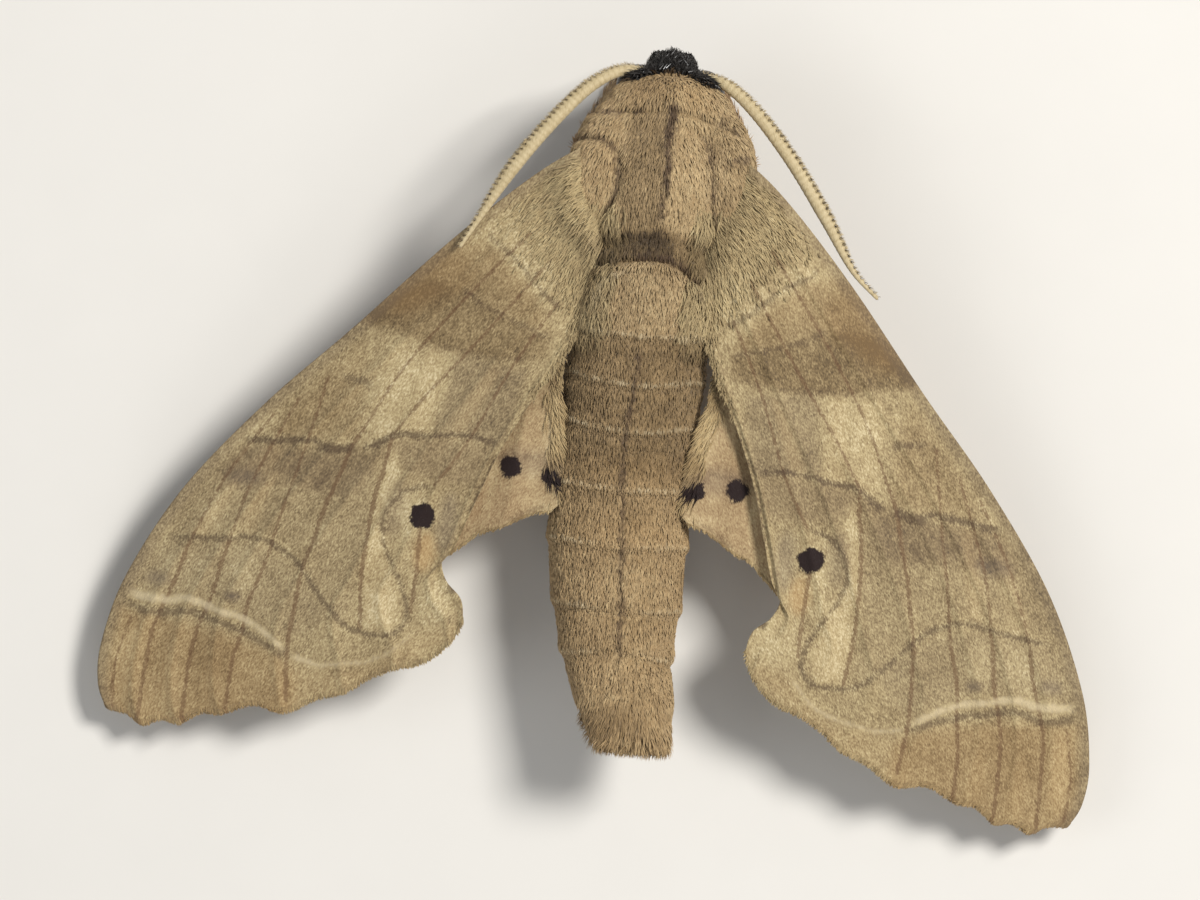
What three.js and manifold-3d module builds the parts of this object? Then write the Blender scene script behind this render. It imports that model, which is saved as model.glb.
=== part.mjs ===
// A swirled hawkmoth at rest on its six feet, life size, in millimetres.
// +Z is up, +Y is towards the head and -X is the moth's left side.
// Every size below is drawn from one point: the front end of the dark line along the back, at floor level.
// The last lines move the finished moth so that its origin is the middle of its outline, on the floor.

import * as THREE from "three";
import { mergeVertices } from "three/addons/utils/BufferGeometryUtils.js";
import Module from "manifold-3d";

const wasm = await Module();
wasm.setup();

// Driving dimensions.
const GAP = 0.3; // clear space kept between neighbouring pieces
const MEMBRANE = 0.52; // thickness of a wing between its veins
const VEIN_RISE = 0.16; // height of a vein's ridge above the membrane
const VEIN_HALF_WIDTH = 0.35;
const WING_PLANE_TOP = 12.1; // height of the wings' middle plane over the back line
const WING_PLANE_REST_Y = -8; // where the plane starts to fall towards the rear
const ROOF_FALL = 0.165; // fall of the wings per millimetre out from the body
const REAR_FALL = 0.115; // fall of the wings per millimetre towards the rear
const FORE_LIFT = 0.05; // underside of the forewing above the wings' middle plane
const HIND_DROP = 0.45; // upper side of the hindwing below the wings' middle plane
const FOREWING_CAMBER = 0.6;
const WING_HINGE = { x: 4.5, y: -6 }; // the point in plan that a wing swings about
const WING_SPREAD_DEG = { left: 4, right: 0 }; // how far each wing is swung out from its drawn place
const SEGMENT_LIP = 0.22; // how far an abdomen ring stands over the next one
const EYE_RADIUS = 1.45;
const EYE_CENTRE = { x: 2.3, y: 1.2, z: 7.6 };
const HEAD_CENTRE = { x: 0, y: 1.3, z: 7.9 };
const HEAD_HALF = { x: 2.65, y: 2.25, z: 2.6 };
const PI2 = 2 * Math.PI;

// Stations along the thorax, front to rear: place, height of its middle, half width, and half heights.
const THORAX = [
  { y: 1.7, x: 0, z: 9.6, wide: 2.4, up: 1.5, down: 2.0 },
  { y: 0.4, x: 0, z: 9.0, wide: 3.9, up: 2.9, down: 3.3 },
  { y: -1.4, x: 0, z: 8.5, wide: 5.2, up: 4.3, down: 4.4 },
  { y: -3.6, x: 0, z: 8.2, wide: 5.9, up: 5.3, down: 5.2 },
  { y: -6.0, x: 0, z: 8.2, wide: 5.9, up: 5.5, down: 5.3 },
  { y: -8.3, x: 0, z: 8.3, wide: 5.3, up: 5.1, down: 4.8 },
  { y: -9.9, x: 0, z: 8.4, wide: 4.6, up: 4.3, down: 4.1 },
  { y: -10.7, x: 0, z: 8.5, wide: 3.6, up: 3.2, down: 3.2 },
];

// Stations along the abdomen, front to rear. It sags in the middle and lifts its tail.
const ABDOMEN = [
  { y: -9.6, x: 0, z: 8.8, wide: 4.1, up: 3.7, down: 3.6 },
  { y: -11.6, x: -0.1, z: 8.8, wide: 4.6, up: 4.1, down: 3.9 },
  { y: -14.5, x: -0.35, z: 8.4, wide: 4.9, up: 4.3, down: 4.1 },
  { y: -19.5, x: -0.65, z: 7.6, wide: 5.0, up: 4.3, down: 4.1 },
  { y: -25.5, x: -0.85, z: 6.7, wide: 5.05, up: 4.1, down: 4.0 },
  { y: -31.5, x: -0.7, z: 6.2, wide: 4.95, up: 4.0, down: 3.8 },
  { y: -35.0, x: -0.4, z: 6.3, wide: 4.55, up: 3.7, down: 3.5 },
  { y: -38.5, x: -0.05, z: 6.9, wide: 3.95, up: 3.2, down: 3.1 },
  { y: -41.3, x: 0.7, z: 7.7, wide: 3.7, up: 2.6, down: 2.6 },
  { y: -43.2, x: 1.3, z: 8.5, wide: 3.4, up: 1.9, down: 2.0 },
  { y: -44.1, x: 1.5, z: 8.9, wide: 2.4, up: 1.2, down: 1.3 },
];
const RING_EDGES = [-16.3, -19.7, -22.9, -26.9, -30.8, -35.2, -38.3]; // rear edge of each ring of the abdomen

// The forewing's outline in plan, on the right side. Along the termen each vein ends in a tooth.
const FORE_COSTA = [
  [4.3, -2.6], [8.2, -5.5], [13.5, -11.1], [19.4, -18.3], [24.6, -24.4], [29.4, -31.2],
  [32.4, -37.8], [33.4, -42.7], [33.2, -45.6], [32.3, -47.4],
];
const FORE_TERMEN = [
  [32.3, -47.4], [30.9, -47.5], [29.7, -48.1], [28.4, -47.5], [27.1, -47.6], [25.8, -46.6],
  [24.3, -46.4], [22.2, -45.4], [20.0, -45.6], [17.9, -44.3], [16.0, -43.5], [14.4, -42.2],
  [12.8, -41.3], [11.0, -40.6], [9.4, -39.0], [8.7, -37.2],
];
const FORE_DORSUM = [
  [3.2, -11.2], [3.9, -15.8], [4.9, -18.4], [6.6, -21.7], [8.1, -25.3], [9.2, -29.0],
  [10.1, -32.1], [10.8, -33.3], [10.3, -34.6], [9.1, -35.7], [8.7, -37.2],
];
// Veins of the forewing: which termen point each one ends at, and where along the wing it leaves its stem.
const FORE_VEINS = [
  { end: 2, from: 0.5 }, { end: 4, from: 0 }, { end: 6, from: 0.42 }, { end: 8, from: 0.38 },
  { end: 10, from: 0 }, { end: 12, from: 0.45 }, { end: 14, from: 0 },
];

// The hindwing's outline in plan, on the right side. All but its inner part lies under the forewing.
const HIND_COSTA = [
  [3.6, -8.2], [8.5, -9.6], [14.5, -15.0], [20.0, -22.0], [24.3, -28.6], [25.9, -32.2], [25.2, -34.6],
];
const HIND_TERMEN = [
  [25.2, -34.6], [22.8, -35.9], [19.6, -36.3], [16.2, -36.0], [13.0, -34.6], [10.2, -32.7],
  [8.7, -31.2], [7.4, -30.6], [5.4, -29.3], [4.0, -28.8],
];
const HIND_DORSUM = [
  [3.2, -12.0], [4.6, -16.5], [4.6, -20.2], [4.1, -22.6], [3.5, -25.8], [3.35, -27.8], [4.0, -28.8],
];
const HIND_VEINS = [
  { end: 1, from: 0.5 }, { end: 3, from: 0 }, { end: 5, from: 0.4 }, { end: 7, from: 0 },
];

// Antennae: middle line of each in space, base to tip. The left one lies along its wing's front edge.
const ANTENNA_LEFT = [
  [-2.0, 2.1, 9.3], [-3.4, 2.0, 9.9], [-5.6, 0.6, 10.6], [-8.0, -2.2, 11.0], [-10.3, -5.5, 11.1],
  [-12.2, -8.9, 11.0], [-13.4, -11.1, 10.9],
];
const ANTENNA_RIGHT = [
  [2.0, 2.1, 9.3], [3.6, 1.7, 9.8], [5.9, 0.0, 10.2], [8.7, -3.1, 10.3], [11.4, -6.8, 10.1],
  [13.6, -10.2, 9.8], [15.5, -12.0, 9.6],
];
const ANTENNA_RADIUS = 0.52;
const ANTENNA_TIP_RADIUS = 0.16;

// Legs on the right side: hip, knee, ankle and toe, with the half thickness at each.
const LEGS = {
  fore: { path: [[2.2, -1.8, 4.8], [5.6, -3.5, 3.9], [5.4, -2.0, 1.1], [3.7, 1.4, 0.3]], half: [1.0, 0.75, 0.55, 0.42] },
  mid: { path: [[3.0, -5.4, 4.6], [7.6, -7.2, 4.8], [9.2, -10.0, 1.2], [10.2, -14.8, 0.3]], half: [1.1, 0.8, 0.58, 0.42] },
  hind: { path: [[2.6, -8.2, 4.6], [6.6, -12.4, 4.6], [7.4, -19.4, 1.2], [7.6, -28.0, 0.3]], half: [1.1, 0.85, 0.6, 0.42] },
};
const TARSUS_JOINTS = 4; // waists along each foot
const SPUR_LENGTH = 1.7;

const COLOURS = {
  wing: 0xa58a63,
  hindwing: 0xb39870,
  body: 0xa2865f,
  tail: 0x9c7f59,
  head: 0x2b2320,
  eye: 0x16110e,
  antenna: 0xcbb98e,
  leg: 0x7d6144,
};

// Numbers and curves.
const mix = (a, b, t) => a + (b - a) * t;
const ramp = (a, b, x) => {
  const t = Math.min(1, Math.max(0, (x - a) / (b - a)));
  return t * t * (3 - 2 * t);
};

// A smooth line through points in plan, with u as the share of its length.
function planLine(points) {
  const line = new THREE.SplineCurve(points.map(([x, y]) => new THREE.Vector2(x, y)));
  line.arcLengthDivisions = 600;
  return line;
}

// The share of a line's length at each of the points that it goes through.
function sharesAt(line) {
  const lengths = line.getLengths();
  const total = lengths[lengths.length - 1];
  const last = line.points.length - 1;
  return line.points.map((_, i) => lengths[Math.round((i / last) * (lengths.length - 1))] / total);
}

// The station at y, blended smoothly between its neighbours.
function stationAt(stations, y) {
  const last = stations.length - 1;
  let i = stations.findIndex((s, k) => k < last && y >= stations[k + 1].y);
  if (i < 0) i = last - 1;
  const at = (k) => stations[Math.min(last, Math.max(0, k))];
  const [p, a, b, n] = [at(i - 1), at(i), at(i + 1), at(i + 2)];
  const t = (y - a.y) / (b.y - a.y);
  const blended = { y };
  for (const key of ["x", "z", "wide", "up", "down"]) {
    const slopeA = ((b[key] - p[key]) / (b.y - p.y)) * (b.y - a.y);
    const slopeB = ((n[key] - a[key]) / (n.y - a.y)) * (b.y - a.y);
    const [t2, t3] = [t * t, t * t * t];
    blended[key] =
      (2 * t3 - 3 * t2 + 1) * a[key] + (t3 - 2 * t2 + t) * slopeA + (3 * t2 - 2 * t3) * b[key] + (t3 - t2) * slopeB;
  }
  return blended;
}

// Solids.

// The solid inside a geometry whose shared vertices are first merged.
function solidOf(geometry) {
  const bare = geometry.clone();
  for (const name of ["normal", "uv"]) bare.deleteAttribute(name);
  const merged = mergeVertices(bare, 1e-4);
  const solid = new wasm.Manifold(
    new wasm.Mesh({
      numProp: 3,
      vertProperties: new Float32Array(merged.attributes.position.array),
      triVerts: new Uint32Array(merged.index.array),
    }),
  );
  return solid;
}

function geometryOf(solid) {
  const mesh = solid.getMesh();
  const places = new Float32Array(mesh.numVert * 3);
  for (let i = 0; i < mesh.numVert; i++) {
    places.set(mesh.vertProperties.subarray(i * mesh.numProp, i * mesh.numProp + 3), i * 3);
  }
  const geometry = new THREE.BufferGeometry();
  geometry.setAttribute("position", new THREE.BufferAttribute(places, 3));
  geometry.setIndex(new THREE.BufferAttribute(mesh.triVerts.slice(), 1));
  return geometry;
}

// The largest closed body of a solid. A cut can leave loose scraps beside it.
function largest(solid) {
  const bodies = solid.decompose();
  return bodies.reduce((best, body) => (body.volume() > best.volume() ? body : best));
}

// A closed surface through rings of points, with a point at each end. Faces look outwards when the rings run
// along the way that their points turn about by the right-hand rule.
function closedRings(rings, startPoint, endPoint) {
  const sides = rings[0].length;
  const places = [startPoint, ...rings.flat(), endPoint];
  const faces = [];
  const at = (ring, side) => 1 + ring * sides + (side % sides);
  const end = places.length - 1;
  for (let s = 0; s < sides; s++) {
    faces.push(0, at(0, s + 1), at(0, s));
    faces.push(end, at(rings.length - 1, s), at(rings.length - 1, s + 1));
    for (let r = 0; r < rings.length - 1; r++) {
      faces.push(at(r, s), at(r, s + 1), at(r + 1, s + 1));
      faces.push(at(r, s), at(r + 1, s + 1), at(r + 1, s));
    }
  }
  const geometry = new THREE.BufferGeometry();
  geometry.setAttribute("position", new THREE.Float32BufferAttribute(places.flatMap((p) => [p.x, p.y, p.z]), 3));
  geometry.setIndex(faces);
  return solidOf(geometry);
}

// A long body through stations, sampled at the places in ys, with extra(y) added to its half sizes.
function longBody(stations, ys, sides, extra) {
  const rings = ys.map((y) => {
    const here = stationAt(stations, y);
    const [ahead, behind] = [stationAt(stations, y + 0.2), stationAt(stations, y - 0.2)];
    const lean = Math.atan2(ahead.z - behind.z, 0.4);
    const more = extra(y);
    return Array.from({ length: sides }, (_, s) => {
      const turn = (s / sides) * PI2;
      const rise = Math.sin(turn) * ((Math.sin(turn) > 0 ? here.up : here.down) + more);
      return new THREE.Vector3(
        here.x + Math.cos(turn) * (here.wide + more),
        y - rise * Math.sin(lean),
        here.z + rise * Math.cos(lean),
      );
    });
  });
  const middle = (ring) => ring.reduce((sum, p) => sum.add(p), new THREE.Vector3()).divideScalar(ring.length);
  const [first, last] = [rings[0], rings[rings.length - 1]];
  const start = middle(first).add(new THREE.Vector3(0, 0.5 + extra(ys[0]), 0));
  const end = middle(last).add(new THREE.Vector3(0, -0.6 - extra(ys[ys.length - 1]), 0.2));
  return closedRings(rings.map((ring) => ring.slice().reverse()).reverse(), end, start);
}

function ellipsoid(centre, half, turnZ = 0, detail = [16, 9]) {
  const geometry = new THREE.SphereGeometry(1, ...detail);
  geometry.scale(half.x, half.y, half.z);
  geometry.rotateZ(turnZ);
  geometry.translate(centre.x, centre.y, centre.z);
  return solidOf(geometry);
}

// A round tube of changing thickness along a smooth line in space, with blunt ends and a flat side below.
function limb(points, halfAt, steps, sides) {
  const line = new THREE.CatmullRomCurve3(points.map((p) => new THREE.Vector3(...p)), false, "centripetal");
  const up = new THREE.Vector3(0, 0, 1);
  const rings = Array.from({ length: steps + 1 }, (_, i) => {
    const share = i / steps;
    const [centre, along] = [line.getPointAt(share), line.getTangentAt(share)];
    const side = new THREE.Vector3().crossVectors(along, up).normalize();
    const over = new THREE.Vector3().crossVectors(side, along);
    return Array.from({ length: sides }, (_, s) => {
      const turn = ((s + (sides % 4 ? 0 : 0.5)) / sides) * PI2;
      return centre
        .clone()
        .addScaledVector(side, Math.cos(turn) * halfAt(share))
        .addScaledVector(over, Math.sin(turn) * halfAt(share));
    });
  });
  const overshoot = (share, way) =>
    line.getPointAt(share).addScaledVector(line.getTangentAt(share), way * halfAt(share) * 0.6);
  return closedRings(rings.map((ring) => ring.slice().reverse()), overshoot(0, -1), overshoot(1, 1));
}

// Wings.

// The height of the wings' middle plane, which falls away from the back like a low roof.
const planeHeight = (x, y) =>
  WING_PLANE_TOP - ROOF_FALL * Math.abs(x) - REAR_FALL * Math.max(0, WING_PLANE_REST_Y - y);

// A wing as a patch between four lines: u runs from its root to its termen, v from its costa to its dorsum.
function wingPatch(costaPoints, termenPoints, dorsumPoints) {
  const [costa, termen, dorsum] = [planLine(costaPoints), planLine(termenPoints), planLine(dorsumPoints)];
  const corner = (list, end) => new THREE.Vector2(...list[end ? list.length - 1 : 0]);
  const [rootFront, apex] = [corner(costaPoints, false), corner(costaPoints, true)];
  const [rootRear, tornus] = [corner(dorsumPoints, false), corner(dorsumPoints, true)];
  const at = (u, v) => {
    const [front, rear, out] = [costa.getPointAt(u), dorsum.getPointAt(u), termen.getPointAt(v)];
    const root = rootFront.clone().lerp(rootRear, v);
    const blend = (axis) =>
      mix(front[axis], rear[axis], v) +
      mix(root[axis], out[axis], u) -
      mix(mix(rootFront[axis], rootRear[axis], v), mix(apex[axis], tornus[axis], v), u);
    return { x: blend("x"), y: blend("y") };
  };
  return { at, shares: sharesAt(termen) };
}

// A closed wing: a membrane over the patch, with ridges along its veins, its columns set by the veins.
function wingSolid(patch, veins, rows, side, heightAt) {
  const swing = THREE.MathUtils.degToRad(WING_SPREAD_DEG[side]);
  const mirror = side === "left" ? -1 : 1;
  const ridges = veins.map((vein) => ({ ...vein, v: patch.shares[vein.end] }));
  const columns = [0, 0.03];
  for (const { v } of ridges) columns.push(v - VEIN_HALF_WIDTH / 27, v, v + VEIN_HALF_WIDTH / 27);
  columns.push(1);
  const valleys = patch.shares.filter((share) => columns.every((v) => Math.abs(v - share) > 0.02));
  columns.push(...valleys);
  columns.sort((a, b) => a - b);
  const riseAt = (u, v) => {
    const vein = ridges.find((ridge) => ridge.v === v);
    return vein ? VEIN_RISE * ramp(vein.from - 0.01, vein.from + 0.08, u) : 0;
  };
  const placeAt = (u, v) => {
    const drawn = patch.at(u, v);
    const [dx, dy] = [drawn.x - WING_HINGE.x, drawn.y - WING_HINGE.y];
    const x = WING_HINGE.x + dx * Math.cos(swing) - dy * Math.sin(swing);
    const y = WING_HINGE.y + dx * Math.sin(swing) + dy * Math.cos(swing);
    return new THREE.Vector3(mirror * x, y, heightAt(x, y, u, v));
  };
  const count = columns.length;
  const places = [];
  for (const lift of [0, MEMBRANE]) {
    for (const u of rows) {
      for (const v of columns) {
        const place = placeAt(u, v);
        place.z += lift === 0 ? 0 : lift + riseAt(u, v);
        places.push(place);
      }
    }
  }
  const layer = rows.length * count;
  const faces = [];
  const face = (a, b, c) => (mirror > 0 ? faces.push(a, c, b) : faces.push(a, b, c));
  const quad = (a, b, c, d) => {
    face(a, b, c);
    face(a, c, d);
  };
  for (let r = 0; r < rows.length - 1; r++) {
    for (let c = 0; c < count - 1; c++) {
      const [a, b, d, e] = [r * count + c, r * count + c + 1, (r + 1) * count + c + 1, (r + 1) * count + c];
      face(layer + a, layer + d, layer + b);
      face(layer + a, layer + e, layer + d);
      face(a, b, d);
      face(a, d, e);
    }
    const [near, far] = [r * count, (r + 1) * count];
    quad(near, far, layer + far, layer + near);
    const [nearEnd, farEnd] = [near + count - 1, far + count - 1];
    quad(farEnd, nearEnd, layer + nearEnd, layer + farEnd);
  }
  for (let c = 0; c < count - 1; c++) {
    quad(c + 1, c, layer + c, layer + c + 1);
    const outer = (rows.length - 1) * count + c;
    quad(outer, outer + 1, layer + outer + 1, layer + outer);
  }
  const geometry = new THREE.BufferGeometry();
  geometry.setAttribute("position", new THREE.Float32BufferAttribute(places.flatMap((p) => [p.x, p.y, p.z]), 3));
  geometry.setIndex(faces);
  return solidOf(geometry);
}

const evenRows = (count) => Array.from({ length: count }, (_, i) => i / (count - 1));
const FORE_ROWS = [...evenRows(9).map((u) => u * 0.74), 0.8, 0.85, 0.885, 0.915, 0.945, 0.975, 1];
const HIND_ROWS = evenRows(10);

// The body.
const bodyRows = (stations, count) => {
  const [front, rear] = [stations[0].y, stations[stations.length - 1].y];
  return evenRows(count).map((share) => mix(front, rear, share));
};

function thoraxSolid(grow) {
  const trunk = longBody(THORAX, bodyRows(THORAX, 12), 20, () => grow);
  const grown = (half) => ({ x: half.x + grow, y: half.y + grow, z: half.z + grow });
  const collar = ellipsoid({ x: 0, y: -0.7, z: 9.9 }, grown({ x: 4.9, y: 2.9, z: 2.6 }));
  const flaps = [-1, 1].map((side) =>
    ellipsoid({ x: side * 4.6, y: -4.6, z: 10.6 }, grown({ x: 2.1, y: 4.4, z: 2.1 }), side * 0.12),
  );
  return flaps.reduce((joined, flap) => joined.add(flap), trunk.add(collar));
}

// Each ring of the abdomen swells a little to its rear edge and stands over the next.
function abdomenSolid(grow) {
  const edges = [ABDOMEN[0].y, ...RING_EDGES, ABDOMEN[ABDOMEN.length - 1].y];
  const ys = [];
  const lips = new Map();
  for (let i = 0; i < edges.length - 1; i++) {
    const [front, rear] = [edges[i] - (i ? 0.14 : 0), edges[i + 1]];
    for (const share of i ? [0, 0.5, 1] : [0, 0.25, 0.5, 0.75, 1]) {
      const y = mix(front, rear, share);
      const isTail = i === edges.length - 2;
      ys.push(y);
      lips.set(y, isTail ? 0 : SEGMENT_LIP * share * share);
    }
  }
  return longBody(ABDOMEN, ys, 20, (y) => grow + (grow ? SEGMENT_LIP : lips.get(y)));
}

function headSolid(grow) {
  const skull = ellipsoid(HEAD_CENTRE, {
    x: HEAD_HALF.x + grow,
    y: HEAD_HALF.y + grow,
    z: HEAD_HALF.z + grow,
  });
  const brow = ellipsoid({ x: 0, y: 2.6, z: 9.3 }, { x: 1.9 + grow, y: 1.25 + grow, z: 1.3 + grow }, 0, [14, 8]);
  return skull.add(brow);
}

const eyeSolid = (side, grow) => {
  const radius = EYE_RADIUS + grow;
  return ellipsoid({ ...EYE_CENTRE, x: side * EYE_CENTRE.x }, { x: radius, y: radius, z: radius * 1.08 }, 0, [14, 9]);
};

const palpSolid = (side) =>
  limb(
    [[side * 1.0, 1.6, 5.0], [side * 1.0, 2.9, 5.4], [side * 0.9, 3.35, 6.4], [side * 0.75, 3.3, 7.3]],
    (share) => mix(0.72, 0.45, share),
    5,
    8,
  );

// An antenna thickens a little past its base, then tapers to a fine hooked tip.
function antennaSolid(path) {
  const halfAt = (share) => {
    const shaft = ANTENNA_RADIUS * (0.82 + 0.18 * ramp(0, 0.25, share));
    return mix(shaft, ANTENNA_TIP_RADIUS, ramp(0.6, 1, share));
  };
  return limb(path, halfAt, 20, 7);
}

// A leg: thigh and shin with rounded joints, spurs on the shin, and a jointed foot that lies flat on the floor.
function legSolid({ path, half }, side, spurs) {
  const [hip, knee, ankle, toe] = path.map(([x, y, z]) => [side * x, y, z]);
  const between = (a, b, share) => a.map((value, axis) => mix(value, b[axis], share));
  const bow = (a, b, lift) => between(a, b, 0.5).map((value, axis) => value + (axis === 2 ? lift : 0));
  const taper = (a, b, belly) => (share) => mix(a, b, share) + belly * Math.sin(Math.PI * share);
  const pieces = [
    limb([hip, bow(hip, knee, 0.2), knee], taper(half[0], half[1], 0.15), 4, 8),
    limb([knee, bow(knee, ankle, 0.25), ankle], taper(half[1], half[2], 0.1), 4, 8),
    ellipsoid(new THREE.Vector3(...knee), { x: half[1], y: half[1], z: half[1] }, 0, [8, 5]),
  ];
  const rest = [ankle[0], ankle[1], 0.62];
  const tarsusHalf = (share) => {
    const waist = 0.07 * (0.5 - 0.5 * Math.cos(share * TARSUS_JOINTS * PI2));
    return mix(half[2], half[3], share) - waist;
  };
  const ground = [mix(ankle[0], toe[0], 0.3), mix(ankle[1], toe[1], 0.3), toe[2]];
  pieces.push(limb([ankle, rest.map((value, axis) => mix(value, ground[axis], 0.4)), ground, toe], tarsusHalf, 8, 6));
  for (const sign of spurs) {
    const from = between(knee, ankle, 0.86);
    const way = between(ankle, toe, 0.5).map((value, axis) => value - ankle[axis]);
    const long = Math.hypot(...way);
    const tip = from.map((value, axis) => value + (way[axis] / long) * SPUR_LENGTH);
    tip[0] += sign * 0.75;
    tip[2] = Math.max(tip[2], 0.5);
    pieces.push(limb([from, between(from, tip, 0.5), tip], (share) => mix(0.34, 0.14, share), 1, 5));
  }
  const joined = pieces.reduce((sum, piece) => sum.add(piece));
  const below = solidOf(new THREE.BoxGeometry(60, 90, 4).translate(side * 10, -12, -2));
  return joined.subtract(below);
}

// The moth.
const moth = new THREE.Group();

function addNode(name, solid, colour, roughness) {
  const material = new THREE.MeshStandardMaterial({ color: colour, roughness, metalness: 0 });
  const mesh = new THREE.Mesh(geometryOf(largest(solid)), material);
  mesh.name = name;
  moth.add(mesh);
}

const thoraxHull = thoraxSolid(GAP);
const abdomenHull = abdomenSolid(GAP);
const headHull = headSolid(GAP);
const forePatch = wingPatch(FORE_COSTA, FORE_TERMEN, FORE_DORSUM);
const hindPatch = wingPatch(HIND_COSTA, HIND_TERMEN, HIND_DORSUM);
const foreHeight = (x, y, u, v) => planeHeight(x, y) + FORE_LIFT + FOREWING_CAMBER * Math.sin(Math.PI * v) * ramp(0, 0.5, u);
const hindHeight = (x, y) => planeHeight(x, y) - HIND_DROP - MEMBRANE;

const eyeHulls = [-1, 1].map((side) => eyeSolid(side, GAP));

const thorax = [headHull, ...eyeHulls].reduce((left, hull) => left.subtract(hull), thoraxSolid(0));
addNode("thorax", thorax, COLOURS.body, 0.9);
addNode("abdomen", abdomenSolid(0).subtract(thoraxHull), COLOURS.tail, 0.9);
addNode("head", eyeHulls.reduce((left, hull) => left.subtract(hull), headSolid(0)), COLOURS.head, 0.85);

for (const [name, side] of [["left", -1], ["right", 1]]) {
  addNode(`eye_${name}`, eyeSolid(side, 0), COLOURS.eye, 0.25);
  addNode(`palp_${name}`, palpSolid(side).subtract(headHull), COLOURS.head, 0.9);
  const antenna = antennaSolid(side < 0 ? ANTENNA_LEFT : ANTENNA_RIGHT);
  addNode(`antenna_${name}`, antenna.subtract(headHull).subtract(thoraxHull), COLOURS.antenna, 0.7);
  const bodyHull = thoraxHull.add(abdomenHull);
  const forewing = wingSolid(forePatch, FORE_VEINS, FORE_ROWS, name, foreHeight);
  addNode(`forewing_${name}`, forewing.subtract(bodyHull), COLOURS.wing, 0.85);
  const hindwing = wingSolid(hindPatch, HIND_VEINS, HIND_ROWS, name, hindHeight);
  addNode(`hindwing_${name}`, hindwing.subtract(bodyHull), COLOURS.hindwing, 0.85);
  addNode(`leg_fore_${name}`, legSolid(LEGS.fore, side, []).subtract(thoraxHull), COLOURS.leg, 0.85);
  addNode(`leg_mid_${name}`, legSolid(LEGS.mid, side, [-1, 1]).subtract(thoraxHull), COLOURS.leg, 0.85);
  addNode(`leg_hind_${name}`, legSolid(LEGS.hind, side, [-1, 1]).subtract(bodyHull), COLOURS.leg, 0.85);
}

// The origin goes to the middle of the outline, on the floor.
const outline = new THREE.Box3().setFromObject(moth);
const middle = outline.getCenter(new THREE.Vector3());
moth.position.set(-middle.x, -middle.y, -outline.min.z);

export default moth;
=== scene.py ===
"""A swirled hawkmoth at rest: scaled wings, furred body, ringed feelers and legs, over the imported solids.

Sizes are in millimetres in the drawing frame of the part: its origin is the front end of the dark line along
the back, at floor level, +Y runs to the head and +X to the moth's right. Every mesh is moved from there to
the model's own frame, in metres, as it is made.
"""

import logging
import math
from dataclasses import dataclass, field
from enum import Enum

import bpy
import numpy as np
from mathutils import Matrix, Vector
from mathutils.bvhtree import BVHTree


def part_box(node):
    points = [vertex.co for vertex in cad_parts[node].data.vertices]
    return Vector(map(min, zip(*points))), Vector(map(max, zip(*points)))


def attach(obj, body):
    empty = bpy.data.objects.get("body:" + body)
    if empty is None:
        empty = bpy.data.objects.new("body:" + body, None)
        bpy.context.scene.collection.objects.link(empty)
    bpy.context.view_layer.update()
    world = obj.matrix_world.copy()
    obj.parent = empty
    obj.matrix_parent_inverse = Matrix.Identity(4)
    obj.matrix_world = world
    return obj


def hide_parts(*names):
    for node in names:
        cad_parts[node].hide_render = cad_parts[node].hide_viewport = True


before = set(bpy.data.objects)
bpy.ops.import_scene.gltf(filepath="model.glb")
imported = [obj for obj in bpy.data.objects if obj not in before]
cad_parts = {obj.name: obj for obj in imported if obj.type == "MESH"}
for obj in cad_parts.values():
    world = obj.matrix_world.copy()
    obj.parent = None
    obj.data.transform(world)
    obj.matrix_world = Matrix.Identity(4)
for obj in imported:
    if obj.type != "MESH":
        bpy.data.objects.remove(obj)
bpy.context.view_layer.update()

BODY = "root"
EYE_FORWARD = 1.2  # the eyes' place along Y in the drawing frame
EYE_HEIGHT = 7.6
FAR = 9.0  # a distance past every marking
SPLINE_STEPS = 2400  # steps along a smooth line before it is evened out
log = logging.getLogger("hawkmoth")


# Numbers, lines and fields.


def ramp(low: float, high: float, value: np.ndarray) -> np.ndarray:
    """Smooth step.

    Args:
        low: Value where the result is 0.
        high: Value where the result is 1.
        value: Numbers to map.

    Returns:
        The smooth share of the way from low to high.
    """
    share = np.clip((np.asarray(value, dtype=float) - low) / (high - low), 0.0, 1.0)
    return share * share * (3.0 - 2.0 * share)


def hump(value: np.ndarray, centre: float, reach: float) -> np.ndarray:
    """A bell of height 1 about centre, with reach as its spread."""
    return np.exp(-(((value - centre) / reach) ** 2))


def unit(vectors: np.ndarray, least: float = 1e-6) -> np.ndarray:
    """Vectors along the last axis at length 1. One shorter than least stays short."""
    return vectors / np.maximum(np.linalg.norm(vectors, axis=-1, keepdims=True), least)


def spline(points: list | tuple, count: int) -> np.ndarray:
    """Smooth line through points, evenly spaced along its length.

    Args:
        points: Places that the line goes through, in two or three numbers each.
        count: How many samples to return.

    Returns:
        The samples, one a row.
    """
    knots = np.asarray(points, dtype=float)
    last = len(knots) - 1
    at = np.linspace(0.0, last, SPLINE_STEPS)
    near = np.minimum(at.astype(int), last - 1)
    t = (at - near)[:, None]
    before, after = knots[np.maximum(near - 1, 0)], knots[np.minimum(near + 2, last)]
    start, end = knots[near], knots[near + 1]
    slope_start, slope_end = (end - before) * 0.5, (after - start) * 0.5
    line = (
        (2 * start - 2 * end + slope_start + slope_end) * t**3
        + (-3 * start + 3 * end - 2 * slope_start - slope_end) * t**2
        + slope_start * t
        + start
    )
    steps = np.concatenate([[0.0], np.cumsum(np.linalg.norm(np.diff(line, axis=0), axis=1))])
    wanted = np.linspace(0.0, steps[-1], count)
    return np.stack([np.interp(wanted, steps, line[:, axis]) for axis in range(line.shape[1])], axis=1)


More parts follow.
